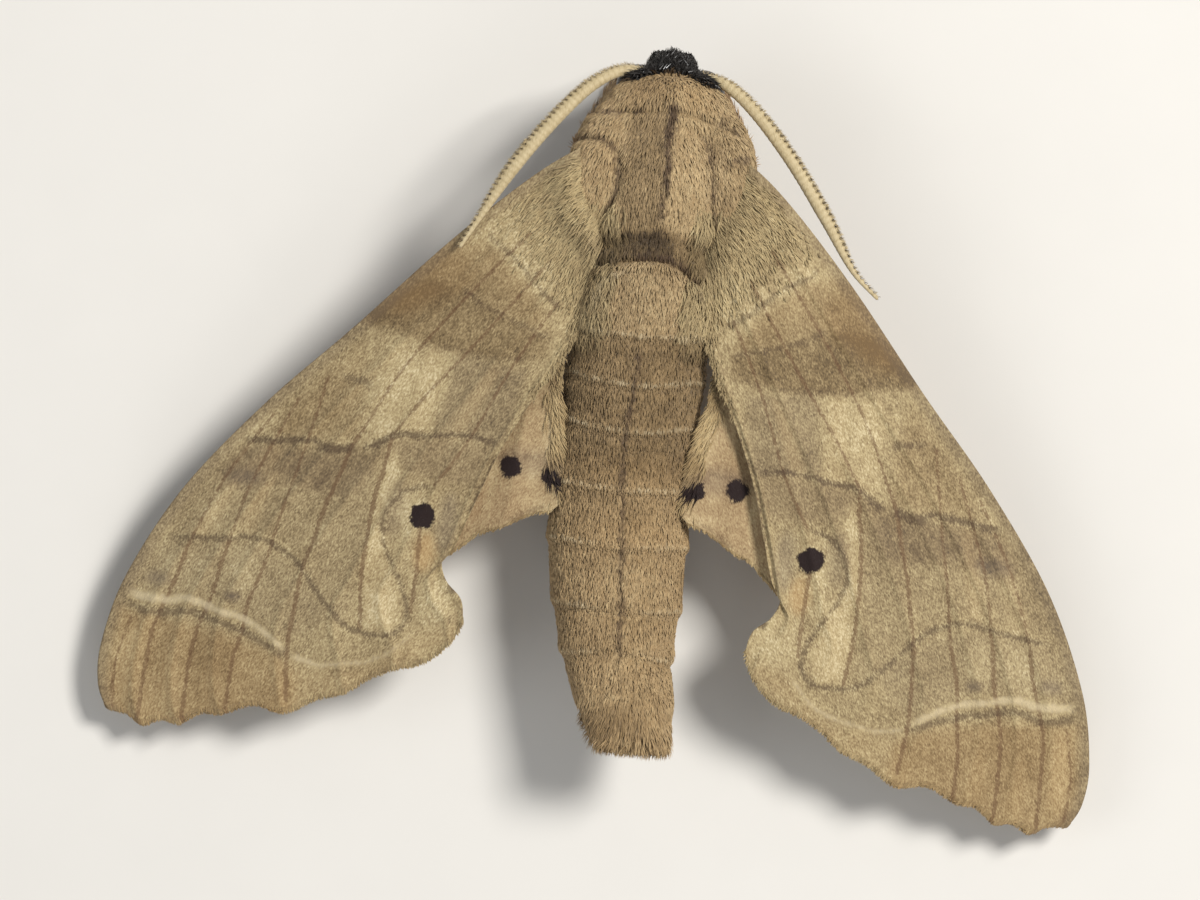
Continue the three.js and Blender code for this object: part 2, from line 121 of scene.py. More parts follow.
def distance_to_line(
    places: np.ndarray, line: np.ndarray
) -> tuple[np.ndarray, np.ndarray]:
    """Distance in plan from many places to one line.

    Args:
        places: Places, one a row, of which x and y count.
        line: Points of the line, one a row.

    Returns:
        The distance of each place, and how far along the line its nearest point is, from 0 to 1.
    """
    best = np.full(len(places), np.inf)
    share = np.zeros(len(places))
    for index in range(len(line) - 1):
        start, way = line[index], line[index + 1] - line[index]
        offset = places[:, :2] - start
        along = np.clip(offset @ way / max(way @ way, 1e-12), 0.0, 1.0)
        gap = np.hypot(offset[:, 0] - along * way[0], offset[:, 1] - along * way[1])
        nearer = gap < best
        best[nearer] = gap[nearer]
        share[nearer] = (index + along[nearer]) / (len(line) - 1)
    return best, share


def inside(places: np.ndarray, outline: np.ndarray) -> np.ndarray:
    """Whether each place lies inside a closed outline, in plan.

    Args:
        places: Places, one a row, of which x and y count.
        outline: Corners of the outline in order.

    Returns:
        True for each place inside.
    """
    x, y = places[:, 0], places[:, 1]
    crossings = np.zeros(len(places), dtype=bool)
    for start, end in zip(outline, np.roll(outline, -1, axis=0)):
        spans = (start[1] > y) != (end[1] > y)
        rise = end[1] - start[1]
        reach = (end[0] - start[0]) * (y - start[1]) / (rise if rise else 1e-12) + start[0]
        crossings ^= spans & (x < reach)
    return crossings


class Line(Enum):
    """The two kinds of drawn line."""

    INK = "ink"
    PALE = "pale"


@dataclass(frozen=True)
class Stroke:
    """A drawn line: its points, half width at both ends, strength, and the share that fades at each end."""

    points: tuple
    start_width: float
    end_width: float
    power: float
    fade: float = 0.0

    def field(self, places: np.ndarray) -> tuple[np.ndarray, np.ndarray, np.ndarray]:
        """Distance, half width and power of this stroke at each place."""
        line = spline(self.points, max(8, 6 * len(self.points)))
        gap, share = distance_to_line(places, line)
        width = self.start_width + (self.end_width - self.start_width) * share
        fading = np.ones(len(places))
        if self.fade:
            fading = ramp(0.0, self.fade, share) * ramp(0.0, self.fade, 1.0 - share)
        return gap, width, self.power * fading


@dataclass(frozen=True)
class Patch:
    """A soft area of the pattern, with what it adds to the tone, the warmth and the lilac."""

    points: tuple
    soft: float
    tone: float
    warm: float = 0.0
    lilac: float = 0.0

    def cover(self, places: np.ndarray) -> np.ndarray:
        """How much of the patch each place gets, from 0 to 1."""
        outline = spline([*self.points, self.points[0]], 8 * len(self.points))
        gap, _ = distance_to_line(places, outline)
        signed = np.where(inside(places, outline), -gap, gap)
        return ramp(self.soft, -self.soft, signed)


def ellipse(x: float, y: float, wide: float, long: float) -> tuple:
    """Points of an ellipse in plan."""
    turns = np.linspace(0.0, 2.0 * math.pi, 10, endpoint=False)
    return tuple((x + wide * math.cos(turn), y + long * math.sin(turn)) for turn in turns)


@dataclass
class Marks:
    """What a surface's pattern is at each of its points. Gaps are in millimetres."""

    tone: np.ndarray
    warm: np.ndarray
    lilac: np.ndarray
    ink_gap: np.ndarray
    ink_power: np.ndarray
    vein_gap: np.ndarray
    pale_gap: np.ndarray
    pale_power: np.ndarray
    spot_gap: np.ndarray

    @classmethod
    def plain(cls, count: int, tone: float = 0.0, warm: float = 0.0) -> "Marks":
        """Marks of one tone with no lines, for count points."""
        marks = {name: np.full(count, FAR if name.endswith("_gap") else 0.0)
                 for name in cls.__dataclass_fields__}
        marks.update(tone=np.full(count, tone), warm=np.full(count, warm))
        return cls(**marks)

    def add_patches(
        self, places: np.ndarray, patches: tuple, only: np.ndarray | float = 1.0
    ) -> None:
        """Adds soft areas, each scaled by only."""
        for patch in patches:
            cover = patch.cover(places) * only
            self.tone += patch.tone * cover
            self.warm += patch.warm * cover
            self.lilac += patch.lilac * cover

    def add_lines(
        self, kind: Line, places: np.ndarray, strokes: tuple, only: np.ndarray | float = 1.0
    ) -> None:
        """Adds dark or pale lines. Where two lie close, the nearer one counts.

        Args:
            kind: Dark or pale.
            places: Where the marks are, one a row.
            strokes: The lines.
            only: What their strength is multiplied by.
        """
        gaps, powers = vars(self)[f"{kind.value}_gap"], vars(self)[f"{kind.value}_power"]
        for stroke in strokes:
            gap, width, power = stroke.field(places)
            nearer = gap - width < gaps
            gaps = np.where(nearer, gap - width, gaps)
            powers = np.where(nearer, power * only, powers)
        vars(self).update({f"{kind.value}_gap": gaps, f"{kind.value}_power": powers})

    def attributes(self) -> dict[str, np.ndarray]:
        """The marks by attribute name, as the finishes read them."""
        return {name: np.clip(values, -FAR, FAR) for name, values in vars(self).items()}


# Meshes.


@dataclass(frozen=True)
class Placement:
    """Where the drawing frame lies in the model's own frame, in millimetres."""

    x: float
    y: float

    @classmethod
    def from_eyes(cls) -> "Placement":
        """Finds the place from the two eyes, which the part draws at known places."""
        corners = np.array([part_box("eye_left"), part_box("eye_right")]).reshape(-1, 3) * 1000.0
        return cls(float(corners[:, 0].mean()), float(corners[:, 1].mean()) - EYE_FORWARD)

    def to_model(self, points: np.ndarray) -> np.ndarray:
        """Drawing points in millimetres as model points in metres."""
        return (points + np.array([self.x, self.y, 0.0])) * 0.001

    def to_drawing(self, points: np.ndarray) -> np.ndarray:
        """Model points in metres as drawing points in millimetres."""
        return points * 1000.0 - np.array([self.x, self.y, 0.0])


PLACE = Placement.from_eyes()


def add_object(name: str, data: bpy.types.ID) -> bpy.types.Object:
    """A new object with this data, linked to the scene."""
    obj = bpy.data.objects.new(name, data)
    bpy.context.scene.collection.objects.link(obj)
    return obj


def keep(mesh: bpy.types.Mesh, label: str, values: np.ndarray) -> None:
    """Keeps a number or a vector for each point of a mesh, under a name that finishes and coat read."""
    kind, key = ("FLOAT_VECTOR", "vector") if values.ndim == 2 else ("FLOAT", "value")
    layer = mesh.attributes.new(label, kind, "POINT")
    layer.data.foreach_set(key, values.astype(np.float32).ravel())


@dataclass
class Sheet:
    """Points, faces, map and values of one mesh before it is made."""

    points: np.ndarray
    quads: np.ndarray
    triangles: np.ndarray
    corner_map: np.ndarray
    values: dict[str, np.ndarray] = field(default_factory=dict)

    def to_object(self, name: str) -> bpy.types.Object:
        """Makes the mesh object, in metres in the model's frame.

        Args:
            name: The object's name.

        Returns:
            The object, smooth shaded and linked to the scene.
        """
        mesh = bpy.data.meshes.new(name)
        corners = np.concatenate([self.quads.ravel(), self.triangles.ravel()]).astype(np.int32)
        sizes = np.concatenate([np.full(len(self.quads), 4),
                                np.full(len(self.triangles), 3)]).astype(np.int32)
        mesh.vertices.add(len(self.points))
        mesh.vertices.foreach_set("co", PLACE.to_model(self.points).astype(np.float32).ravel())
        mesh.loops.add(len(corners))
        mesh.loops.foreach_set("vertex_index", corners)
        mesh.polygons.add(len(sizes))
        mesh.polygons.foreach_set("loop_start", np.concatenate([[0], np.cumsum(sizes)[:-1]]).astype(np.int32))
        mesh.update(calc_edges=True)
        layer = mesh.uv_layers.new(name="OFBake")
        layer.data.foreach_set("uv", self.corner_map.astype(np.float32).ravel())
        self.values.setdefault("weave", self.points)
        for label, values in self.values.items():
            keep(mesh, label, values)
        mesh.shade_smooth()
        return add_object(name, mesh)


def join_sheets(sheets: list[Sheet]) -> Sheet:
    """Puts several sheets into one, with each one's faces kept as they are."""
    starts = np.cumsum([0] + [len(sheet.points) for sheet in sheets])
    quad_maps, triangle_maps = [], []
    for sheet in sheets:
        split = len(sheet.quads) * 4
        quad_maps.append(sheet.corner_map[:split])
        triangle_maps.append(sheet.corner_map[split:])
    return Sheet(
        np.concatenate([sheet.points for sheet in sheets]),
        np.concatenate([sheet.quads + start for sheet, start in zip(sheets, starts)]),
        np.concatenate([sheet.triangles + start for sheet, start in zip(sheets, starts)]),
        np.concatenate(quad_maps + triangle_maps),
        {key: np.concatenate([sheet.values[key] for sheet in sheets]) for key in sheets[0].values},
    )


def tube_sheet(rings: np.ndarray, start: np.ndarray, end: np.ndarray,
               box: tuple = (0.0, 0.0, 1.0, 1.0)) -> Sheet:
    """A closed tube through rings of points, with a point at each end.

    Args:
        rings: Points by ring and place round the ring, which turn so that the faces look outwards.
        start: The point that closes the first ring.
        end: The point that closes the last ring.
        box: Low and high corner of the tube's area on the map.

    Returns:
        The sheet, with its points in the order of the rings, then start, then end.
    """
    count, around = rings.shape[:2]
    points = np.concatenate([rings.reshape(-1, 3), [start], [end]])
    row, side = np.meshgrid(np.arange(count - 1), np.arange(around), indexing="ij")
    row, side = row.ravel(), side.ravel()
    beside = (side + 1) % around
    quads = np.stack([row * around + side, row * around + beside, (row + 1) * around + beside,
                      (row + 1) * around + side], axis=1)
    width, height = box[2] - box[0], box[3] - box[1]

    def spot(ring: np.ndarray, turn: np.ndarray) -> np.ndarray:
        """Places on the map at these counts of rings and of points round a ring."""
        return np.stack([box[0] + width * turn / around, box[1] + height * (ring + 1) / (count + 1)], axis=-1)

    quad_map = np.stack([spot(row, side), spot(row, side + 1), spot(row + 1, side + 1), spot(row + 1, side)],
                        axis=1)
    turns = np.arange(around)
    following = (turns + 1) % around
    first, final = count * around, count * around + 1
    last = (count - 1) * around
    triangles = np.concatenate([
        np.stack([np.full(around, first), following, turns], axis=1),
        np.stack([np.full(around, final), last + turns, last + following], axis=1),
    ])
    edge = np.full(around, -1.0)
    far = np.full(around, float(count))
    cap_map = np.concatenate([
        np.stack([spot(edge, turns + 0.5), spot(edge + 1, turns + 1), spot(edge + 1, turns)], axis=1),
        np.stack([spot(far, turns + 0.5), spot(far - 1, turns), spot(far - 1, turns + 1)], axis=1),
    ])
    return Sheet(points, quads, triangles, np.concatenate([quad_map.reshape(-1, 2), cap_map.reshape(-1, 2)]))


def limb_rings(line: np.ndarray, halves: np.ndarray, around: int) -> np.ndarray:
    """Rings square to a line in space, whose faces look outwards in tube_sheet.

    Args:
        line: Middle points, one a row.
        halves: Half width at each point, or two numbers for across and over.
        around: Points in each ring.

    Returns:
        Points by ring and place round the ring.
    """
    along = unit(np.gradient(line, axis=0))
    across = unit(np.cross(along, [0.0, 0.0, 1.0]))
    over = np.cross(across, along)
    turn = np.linspace(0.0, 2.0 * math.pi, around, endpoint=False)
    sizes = halves if halves.ndim == 2 else np.stack([halves, halves], axis=1)
    return (
        line[:, None, :]
        + across[:, None, :] * (np.cos(turn)[None, :] * sizes[:, :1])[:, :, None]
        + over[:, None, :] * (np.sin(turn)[None, :] * sizes[:, 1:])[:, :, None]
    )[:, ::-1, :]


def grid_normals(points: np.ndarray) -> np.ndarray:
    """Outward normals of a closed tube's grid, by ring and place round the ring."""
    along = np.gradient(points, axis=0)
    round_ring = np.roll(points, -1, axis=1) - np.roll(points, 1, axis=1)
    return unit(np.cross(round_ring, along), 1e-9)


def lay_along(normals: np.ndarray, ways: np.ndarray) -> np.ndarray:
    """Directions ways, laid flat on the surface that has these normals."""
    return unit(ways - (ways * normals).sum(axis=-1, keepdims=True) * normals)


# Finishes.

SCALE_WIDTH, SCALE_LENGTH = 0.09, 0.2  # one scale, in millimetres
BROAD_CLOUD, SMALL_CLOUD = 3.4, 0.62  # the two sizes of mottling, in millimetres
Source = bpy.types.NodeSocket | float | tuple


def tint(red: int, green: int, blue: int) -> tuple[float, float, float, float]:
    """A colour of a screen, in 0 to 255, as the shader's linear one."""
    parts = [part / 255.0 for part in (red, green, blue)]
    linear = [part / 12.92 if part <= 0.04045 else ((part + 0.055) / 1.055) ** 2.4 for part in parts]
    return (*linear, 1.0)


class Wiring:
    """Adds nodes to one tree and joins them."""

    def __init__(self, tree: bpy.types.NodeTree) -> None:
        """Takes the tree that the nodes go into."""
        self.tree = tree

    def add(self, kind: str, inputs: dict[str | int, Source] | None = None,
            **settings: object) -> bpy.types.Node:
        """Adds a node.

        Args:
            kind: The node's type.
            inputs: A value or a source for each input that isn't left as it is.
            settings: The node's own settings.

        Returns:
            The node.
        """
        node = self.tree.nodes.new(kind)
        for key, value in settings.items():
            setattr(node, key, value)
        for key, value in (inputs or {}).items():
            if isinstance(value, bpy.types.NodeSocket):
                self.tree.links.new(value, node.inputs[key])
            else:
                node.inputs[key].default_value = value
        return node

    def math(self, operation: str, first: Source, second: Source = 0.0) -> bpy.types.NodeSocket:
        """One sum, product or other step of arithmetic."""
        return self.add("ShaderNodeMath", {0: first, 1: second}, operation=operation).outputs[0]

    def mix(self, share: Source, low: Source, high: Source) -> bpy.types.NodeSocket:
        """A colour that goes from low to high."""
        return self.add("ShaderNodeMix", {0: share, 6: low, 7: high}, data_type="RGBA").outputs[2]

    def span(
        self, value: Source, low: Source, high: Source, start: Source = 0.0, end: Source = 1.0
    ) -> bpy.types.NodeSocket:
        """Smooth step of value from low to high, put out as start to end."""
        inputs = {"Value": value, "From Min": low, "From Max": high, "To Min": start, "To Max": end}
        return self.add("ShaderNodeMapRange", inputs, interpolation_type="SMOOTHSTEP").outputs[0]

    def noise(self, place: Source, size: float, detail: float = 2.0) -> bpy.types.NodeSocket:
        """Noise whose grains are size millimetres across, from 0 to 1 about 0.5."""
        inputs = {"Vector": place, "Scale": 1000.0 / size, "Detail": detail}
        return self.add("ShaderNodeTexNoise", inputs).outputs[0]

    def attribute(self, name: str) -> bpy.types.NodeSocket:
        """A value kept on the mesh."""
        return self.add("ShaderNodeAttribute", attribute_name=name).outputs["Fac"]

    def place(self) -> bpy.types.NodeSocket:
        """Object coordinates."""
        return self.add("ShaderNodeTexCoord").outputs["Object"]


def new_group(
    name: str, inputs: dict[str, float], outputs: list[str]
) -> tuple[Wiring, dict[str, bpy.types.NodeSocket], bpy.types.Node]:
    """Starts a shader group with named sockets.

    Args:
        name: The group's name.
        inputs: Each input's name and value.
        outputs: Each output's name.

    Returns:
        The wiring, the inputs by name, and the node that takes the outputs.
    """
    tree = bpy.data.node_groups.new(name, "ShaderNodeTree")
    for label, value in inputs.items():
        socket = tree.interface.new_socket(label, in_out="INPUT", socket_type="NodeSocketFloat")
        socket.default_value = value
    for label in outputs:
        tree.interface.new_socket(label, in_out="OUTPUT", socket_type="NodeSocketFloat")
    wiring = Wiring(tree)
    given = wiring.add("NodeGroupInput")
    return wiring, {label: given.outputs[label] for label in inputs}, wiring.add("NodeGroupOutput")


def build_pattern_group() -> bpy.types.NodeTree:
    """The moth's markings: masks and speckle that every scaled or furred finish shares."""
    outputs = ["Tone", "Ink", "Pale", "Vein", "Spot", "Warm", "Lilac", "Grain"]
    wiring, given, result = new_group("moth_pattern", {"Speckle": 1.0, "Mottle": 1.0}, outputs)
    scale_size = wiring.add("ShaderNodeCombineXYZ", {
        0: 1 / SCALE_WIDTH, 1: 1 / SCALE_LENGTH, 2: 1 / SCALE_WIDTH}).outputs[0]
    place = wiring.place()
    weave = wiring.add("ShaderNodeAttribute", attribute_name="weave").outputs["Vector"]
    strands = wiring.add("ShaderNodeVectorMath", {0: weave, 1: scale_size}, operation="MULTIPLY").outputs[0]
    broad = wiring.math("SUBTRACT", wiring.noise(place, BROAD_CLOUD, 2.0), 0.5)
    middle = wiring.math("SUBTRACT", wiring.noise(place, SMALL_CLOUD, 2.0), 0.5)
    fine = wiring.add("ShaderNodeTexNoise", {"Vector": strands, "Scale": 1.0, "Detail": 1.0}).outputs[0]
    fine = wiring.math("SUBTRACT", fine, 0.5)
    cells = wiring.add("ShaderNodeTexVoronoi", {"Vector": strands, "Scale": 0.8})
    tiles = wiring.math("SUBTRACT", cells.outputs["Color"], 0.5)
    mottle = wiring.math("MULTIPLY", wiring.math("ADD", wiring.math("MULTIPLY", broad, 0.36),
                                                 wiring.math("MULTIPLY", middle, 0.26)), given["Mottle"])
    speckle = wiring.math("MULTIPLY", wiring.math("ADD", wiring.math("MULTIPLY", fine, 0.6),
                                                  wiring.math("MULTIPLY", tiles, 0.2)), given["Speckle"])
    tone = wiring.math("MULTIPLY_ADD", wiring.attribute("tone"), 0.5)
    tone.node.inputs[2].default_value = 0.5
    tone = wiring.math("ADD", wiring.math("ADD", tone, mottle), speckle)
    ragged = wiring.math("ADD", wiring.math("MULTIPLY", middle, 0.55), wiring.math("MULTIPLY", fine, 0.5))
    ink = wiring.span(wiring.math("ADD", wiring.attribute("ink_gap"), ragged), 0.26, -0.16)
    ink = wiring.math("MULTIPLY", ink, wiring.attribute("ink_power"))
    pale = wiring.span(wiring.math("ADD", wiring.attribute("pale_gap"), ragged), 0.2, -0.2)
    pale = wiring.math("MULTIPLY", pale, wiring.attribute("pale_power"))
    waver = wiring.math("MULTIPLY", ragged, 0.4)
    vein = wiring.span(wiring.math("ADD", wiring.attribute("vein_gap"), waver), 0.17, 0.0)
    uneven = wiring.math("ADD", wiring.math("MULTIPLY", middle, 0.7), wiring.math("MULTIPLY", fine, 0.3))
    spot = wiring.span(wiring.math("ADD", wiring.attribute("spot_gap"), uneven), 0.12, -0.1)
    grain = wiring.math("ADD", fine, wiring.math("MULTIPLY", tiles, 0.5))
    found = {"Tone": tone, "Ink": ink, "Pale": pale, "Vein": vein, "Spot": spot, "Grain": grain,
             "Warm": wiring.attribute("warm"), "Lilac": wiring.attribute("lilac")}
    for label, value in found.items():
        wiring.tree.links.new(value, result.inputs[label])
    return wiring.tree


PATTERN = build_pattern_group()


def new_material(name: str) -> tuple[bpy.types.Material, Wiring]:
    """An empty material, and the wiring for its nodes."""
    material = bpy.data.materials.new(name)
    material.use_nodes = True
    material.node_tree.nodes.clear()
    return material, Wiring(material.node_tree)


@dataclass(frozen=True)
class ScaleFinish:
    """Scales or fur: five shades from dark to pale, the colours of the markings, and how it takes light."""

    name: str
    shades: tuple
    ink: tuple = (66, 48, 34)
    pale: tuple = (218, 201, 164)
    vein: tuple = (92, 62, 38)
    spot: tuple = (27, 8, 5)
    warm: tuple = (184, 142, 88)
    lilac: tuple = (116, 104, 92)
    speckle: float = 1.0
    mottle: float = 1.0
    roughness: float = 0.72
    relief: float = 0.035
    tip_light: float = 0.0
    tuft_contrast: float = 0.16
    sheen: float = 0.12

    def make(self) -> bpy.types.Material:
        """Builds the material."""
        material, wiring = new_material(self.name)
        pattern = wiring.add("ShaderNodeGroup", node_tree=PATTERN)
        pattern.inputs["Speckle"].default_value = self.speckle
        pattern.inputs["Mottle"].default_value = self.mottle
        shades = wiring.add("ShaderNodeValToRGB", {0: pattern.outputs["Tone"]})
        ramp_stops = shades.color_ramp.elements
        for place in (0.25, 0.5, 0.75):
            ramp_stops.new(place)
        for stop, shade in zip(ramp_stops, self.shades):
            stop.color = tint(*shade)
        colour = wiring.mix(pattern.outputs["Warm"], shades.outputs[0], tint(*self.warm))
        colour = wiring.mix(pattern.outputs["Lilac"], colour, tint(*self.lilac))
        colour = wiring.mix(wiring.math("MULTIPLY", pattern.outputs["Vein"], 0.56), colour, tint(*self.vein))
        colour = wiring.mix(pattern.outputs["Pale"], colour, tint(*self.pale))
        colour = wiring.mix(pattern.outputs["Ink"], colour, tint(*self.ink))
        colour = wiring.mix(pattern.outputs["Spot"], colour, tint(*self.spot))
        # Painted shade at each tuft's root and painted light at its tip, with each tuft's own random tone on
        # top.
        if self.tip_light:
            rise = wiring.math("MULTIPLY", wiring.math("SUBTRACT", wiring.attribute("along"), 0.4),
                               self.tip_light)
            own = wiring.math("MULTIPLY_ADD", wiring.attribute("own_shade"), self.tuft_contrast)
            own.node.inputs[2].default_value = 1.0
            light = wiring.math("ADD", rise, own)
            colour = wiring.add("ShaderNodeHueSaturation", {"Value": light, "Color": colour}).outputs[0]
        bump = wiring.add("ShaderNodeBump", {"Height": pattern.outputs["Grain"],
                                             "Distance": self.relief * 0.001})
        rough = wiring.math("MULTIPLY_ADD", pattern.outputs["Grain"], 0.22)
        rough.node.inputs[2].default_value = self.roughness
        shader = wiring.add("ShaderNodeBsdfPrincipled", {
            "Base Color": colour, "Roughness": rough, "Normal": bump.outputs[0], "Sheen Weight": self.sheen,
            "Sheen Roughness": 0.5, "Specular IOR Level": 0.32})
        wiring.add("ShaderNodeOutputMaterial", {"Surface": shader.outputs[0]})
        return material


@dataclass(frozen=True)
class EyeFinish:
    """A dark compound eye of many small facets under a clear gloss."""

    name: str = "compound_eye"
    deep: tuple = (17, 11, 8)
    light: tuple = (62, 42, 27)
    facet: float = 0.055

    def make(self) -> bpy.types.Material:
        """Builds the material."""
        material, wiring = new_material(self.name)
        place = wiring.place()
        cells = wiring.add("ShaderNodeTexVoronoi", {"Vector": place, "Scale": 1000.0 / self.facet})
        cloud = wiring.noise(place, 0.9, 2.0)
        share = wiring.math("MULTIPLY", cloud, wiring.span(cells.outputs["Distance"], 0.7, 0.1, 0.25, 0.85))
        colour = wiring.mix(share, tint(*self.deep), tint(*self.light))
        bump = wiring.add("ShaderNodeBump", {"Height": wiring.span(cells.outputs["Distance"], 0.75, 0.0),
                                             "Distance": 0.000006})
        rough = wiring.span(cloud, 0.3, 0.7, 0.26, 0.4)
        shader = wiring.add("ShaderNodeBsdfPrincipled", {
            "Base Color": colour, "Roughness": rough, "Normal": bump.outputs[0], "Coat Weight": 0.06,
            "Coat Roughness": 0.16, "Specular IOR Level": 0.3})
        wiring.add("ShaderNodeOutputMaterial", {"Surface": shader.outputs[0]})
        return material


@dataclass(frozen=True)
class FloorFinish:
    """A plain pale floor with a very faint tooth."""

    name: str = "pale_floor"
    shade: tuple = (214, 211, 205)

    def make(self) -> bpy.types.Material:
        """Builds the material."""
        material, wiring = new_material(self.name)
        cloud = wiring.noise(wiring.place(), 6.0, 3.0)
        low, high = tint(*self.shade), tint(*(part + 4 for part in self.shade))
        shader = wiring.add("ShaderNodeBsdfPrincipled", {
            "Base Color": wiring.mix(cloud, low, high), "Roughness": wiring.span(cloud, 0.2, 0.8, 0.82, 0.9)})
        wiring.add("ShaderNodeOutputMaterial", {"Surface": shader.outputs[0]})
        return material


EDGE_SAMPLES = 1400  # points along each edge of a wing
MAP_CORNER, MAP_SIZE = (2.0, 52.0), (80.0, 60.0)  # where a wing's plan lies on its map, in millimetres
SCALE_ROWS_DEG = 24.0  # how far the rows of scales are turned from the wing's drawn length
UNDERSIDE = {"tone": 0.4, "warm": 1.6, "lilac": 0.5, "ink_power": 0.4, "pale_power": 0.3}
FOREWING_SHADES = ((74, 60, 38), (113, 95, 65), (146, 127, 92), (176, 158, 118), (205, 190, 152))
BODY_SHADES = ((72, 57, 37), (116, 96, 66), (150, 127, 92), (180, 158, 119), (206, 189, 151))


class Finish(Enum):
    """Every finish of the moth."""

    FOREWING = ScaleFinish("forewing_scales", FOREWING_SHADES, speckle=1.5, mottle=1.15)
    HINDWING = ScaleFinish(
        "hindwing_scales", ((82, 66, 44), (122, 101, 70), (154, 133, 98), (181, 162, 122), (207, 191, 153)),
        warm=(172, 132, 94), speckle=1.3)
    SKIN = ScaleFinish("body_scales", BODY_SHADES, relief=0.05, spot=(14, 12, 11))
    FUR = ScaleFinish(
        "body_fur", BODY_SHADES, tip_light=0.36, relief=0.01, speckle=0.8, roughness=0.66, spot=(22, 19, 17))
    WING_HAIR = ScaleFinish("wing_fringe", FOREWING_SHADES, tip_light=0.36, relief=0.01, speckle=0.7)
    BLACK_HAIR = ScaleFinish(
        "black_head_hair", ((10, 9, 8), (20, 17, 15), (33, 28, 24), (52, 45, 38), (84, 74, 64)),
        tip_light=0.6, roughness=0.3, speckle=0.6, relief=0.008, sheen=0.0, spot=(30, 27, 25),
        tuft_contrast=0.4)
    LEG = ScaleFinish(
        "leg_scales", ((84, 62, 42), (122, 96, 68), (150, 124, 92), (182, 156, 120), (214, 192, 156)),
        tip_light=0.3)
    ANTENNA = ScaleFinish(
        "feeler_scales", ((62, 50, 32), (118, 102, 72), (176, 158, 120), (203, 187, 150), (224, 211, 178)),
        roughness=0.58, relief=0.02, speckle=0.5, mottle=0.4)
    EYE = EyeFinish()
    FLOOR = FloorFinish()

    def material(self) -> bpy.types.Material:
        """The finish's material, made when it is first asked for."""
        found = bpy.data.materials.get(self.value.name)
        return found if found else self.value.make()


# The coat.


@dataclass(frozen=True)
class Tuft:
    """A closed, flattened, bent spike, in millimetres: what one tuft of scales or hair looks like."""

    length: float
    width: float
    thickness: float
    rise: float = 0.08
    belly: float = 0.42

    def to_object(self, name: str) -> bpy.types.Object:
        """Makes the tuft along +Y with its back to +Z, its root at the origin.

        Args:
            name: The object's name.

        Returns:
            The object, which is taken out once the coat has grown.
        """
        half, thick = self.width / 2, self.thickness
        middle, tip = self.length * self.belly, self.length
        points = np.array([
            (-half * 0.7, 0.0, 0.0), (half * 0.7, 0.0, 0.0), (0.0, 0.0, thick),
            (-half, middle, self.rise), (half, middle, self.rise), (0.0, middle, self.rise + thick * 0.8),
            (0.0, tip, self.rise * 0.4),
        ]) * 0.001
        faces = [(0, 1, 2), (0, 4, 1), (0, 3, 4), (1, 5, 2), (1, 4, 5), (2, 3, 0), (2, 5, 3),
                 (3, 6, 4), (4, 6, 5), (5, 6, 3)]
        mesh = bpy.data.meshes.new(name)
        mesh.from_pydata(points.tolist(), [], faces)
        across, along = points[:, 0] / (self.width * 0.001), points[:, 1] / (tip * 0.001)
        keep(mesh, "along", along)
        keep(mesh, "tuft_map", np.stack([across, along, points[:, 0] * 0], axis=1))
        return add_object(name, mesh)


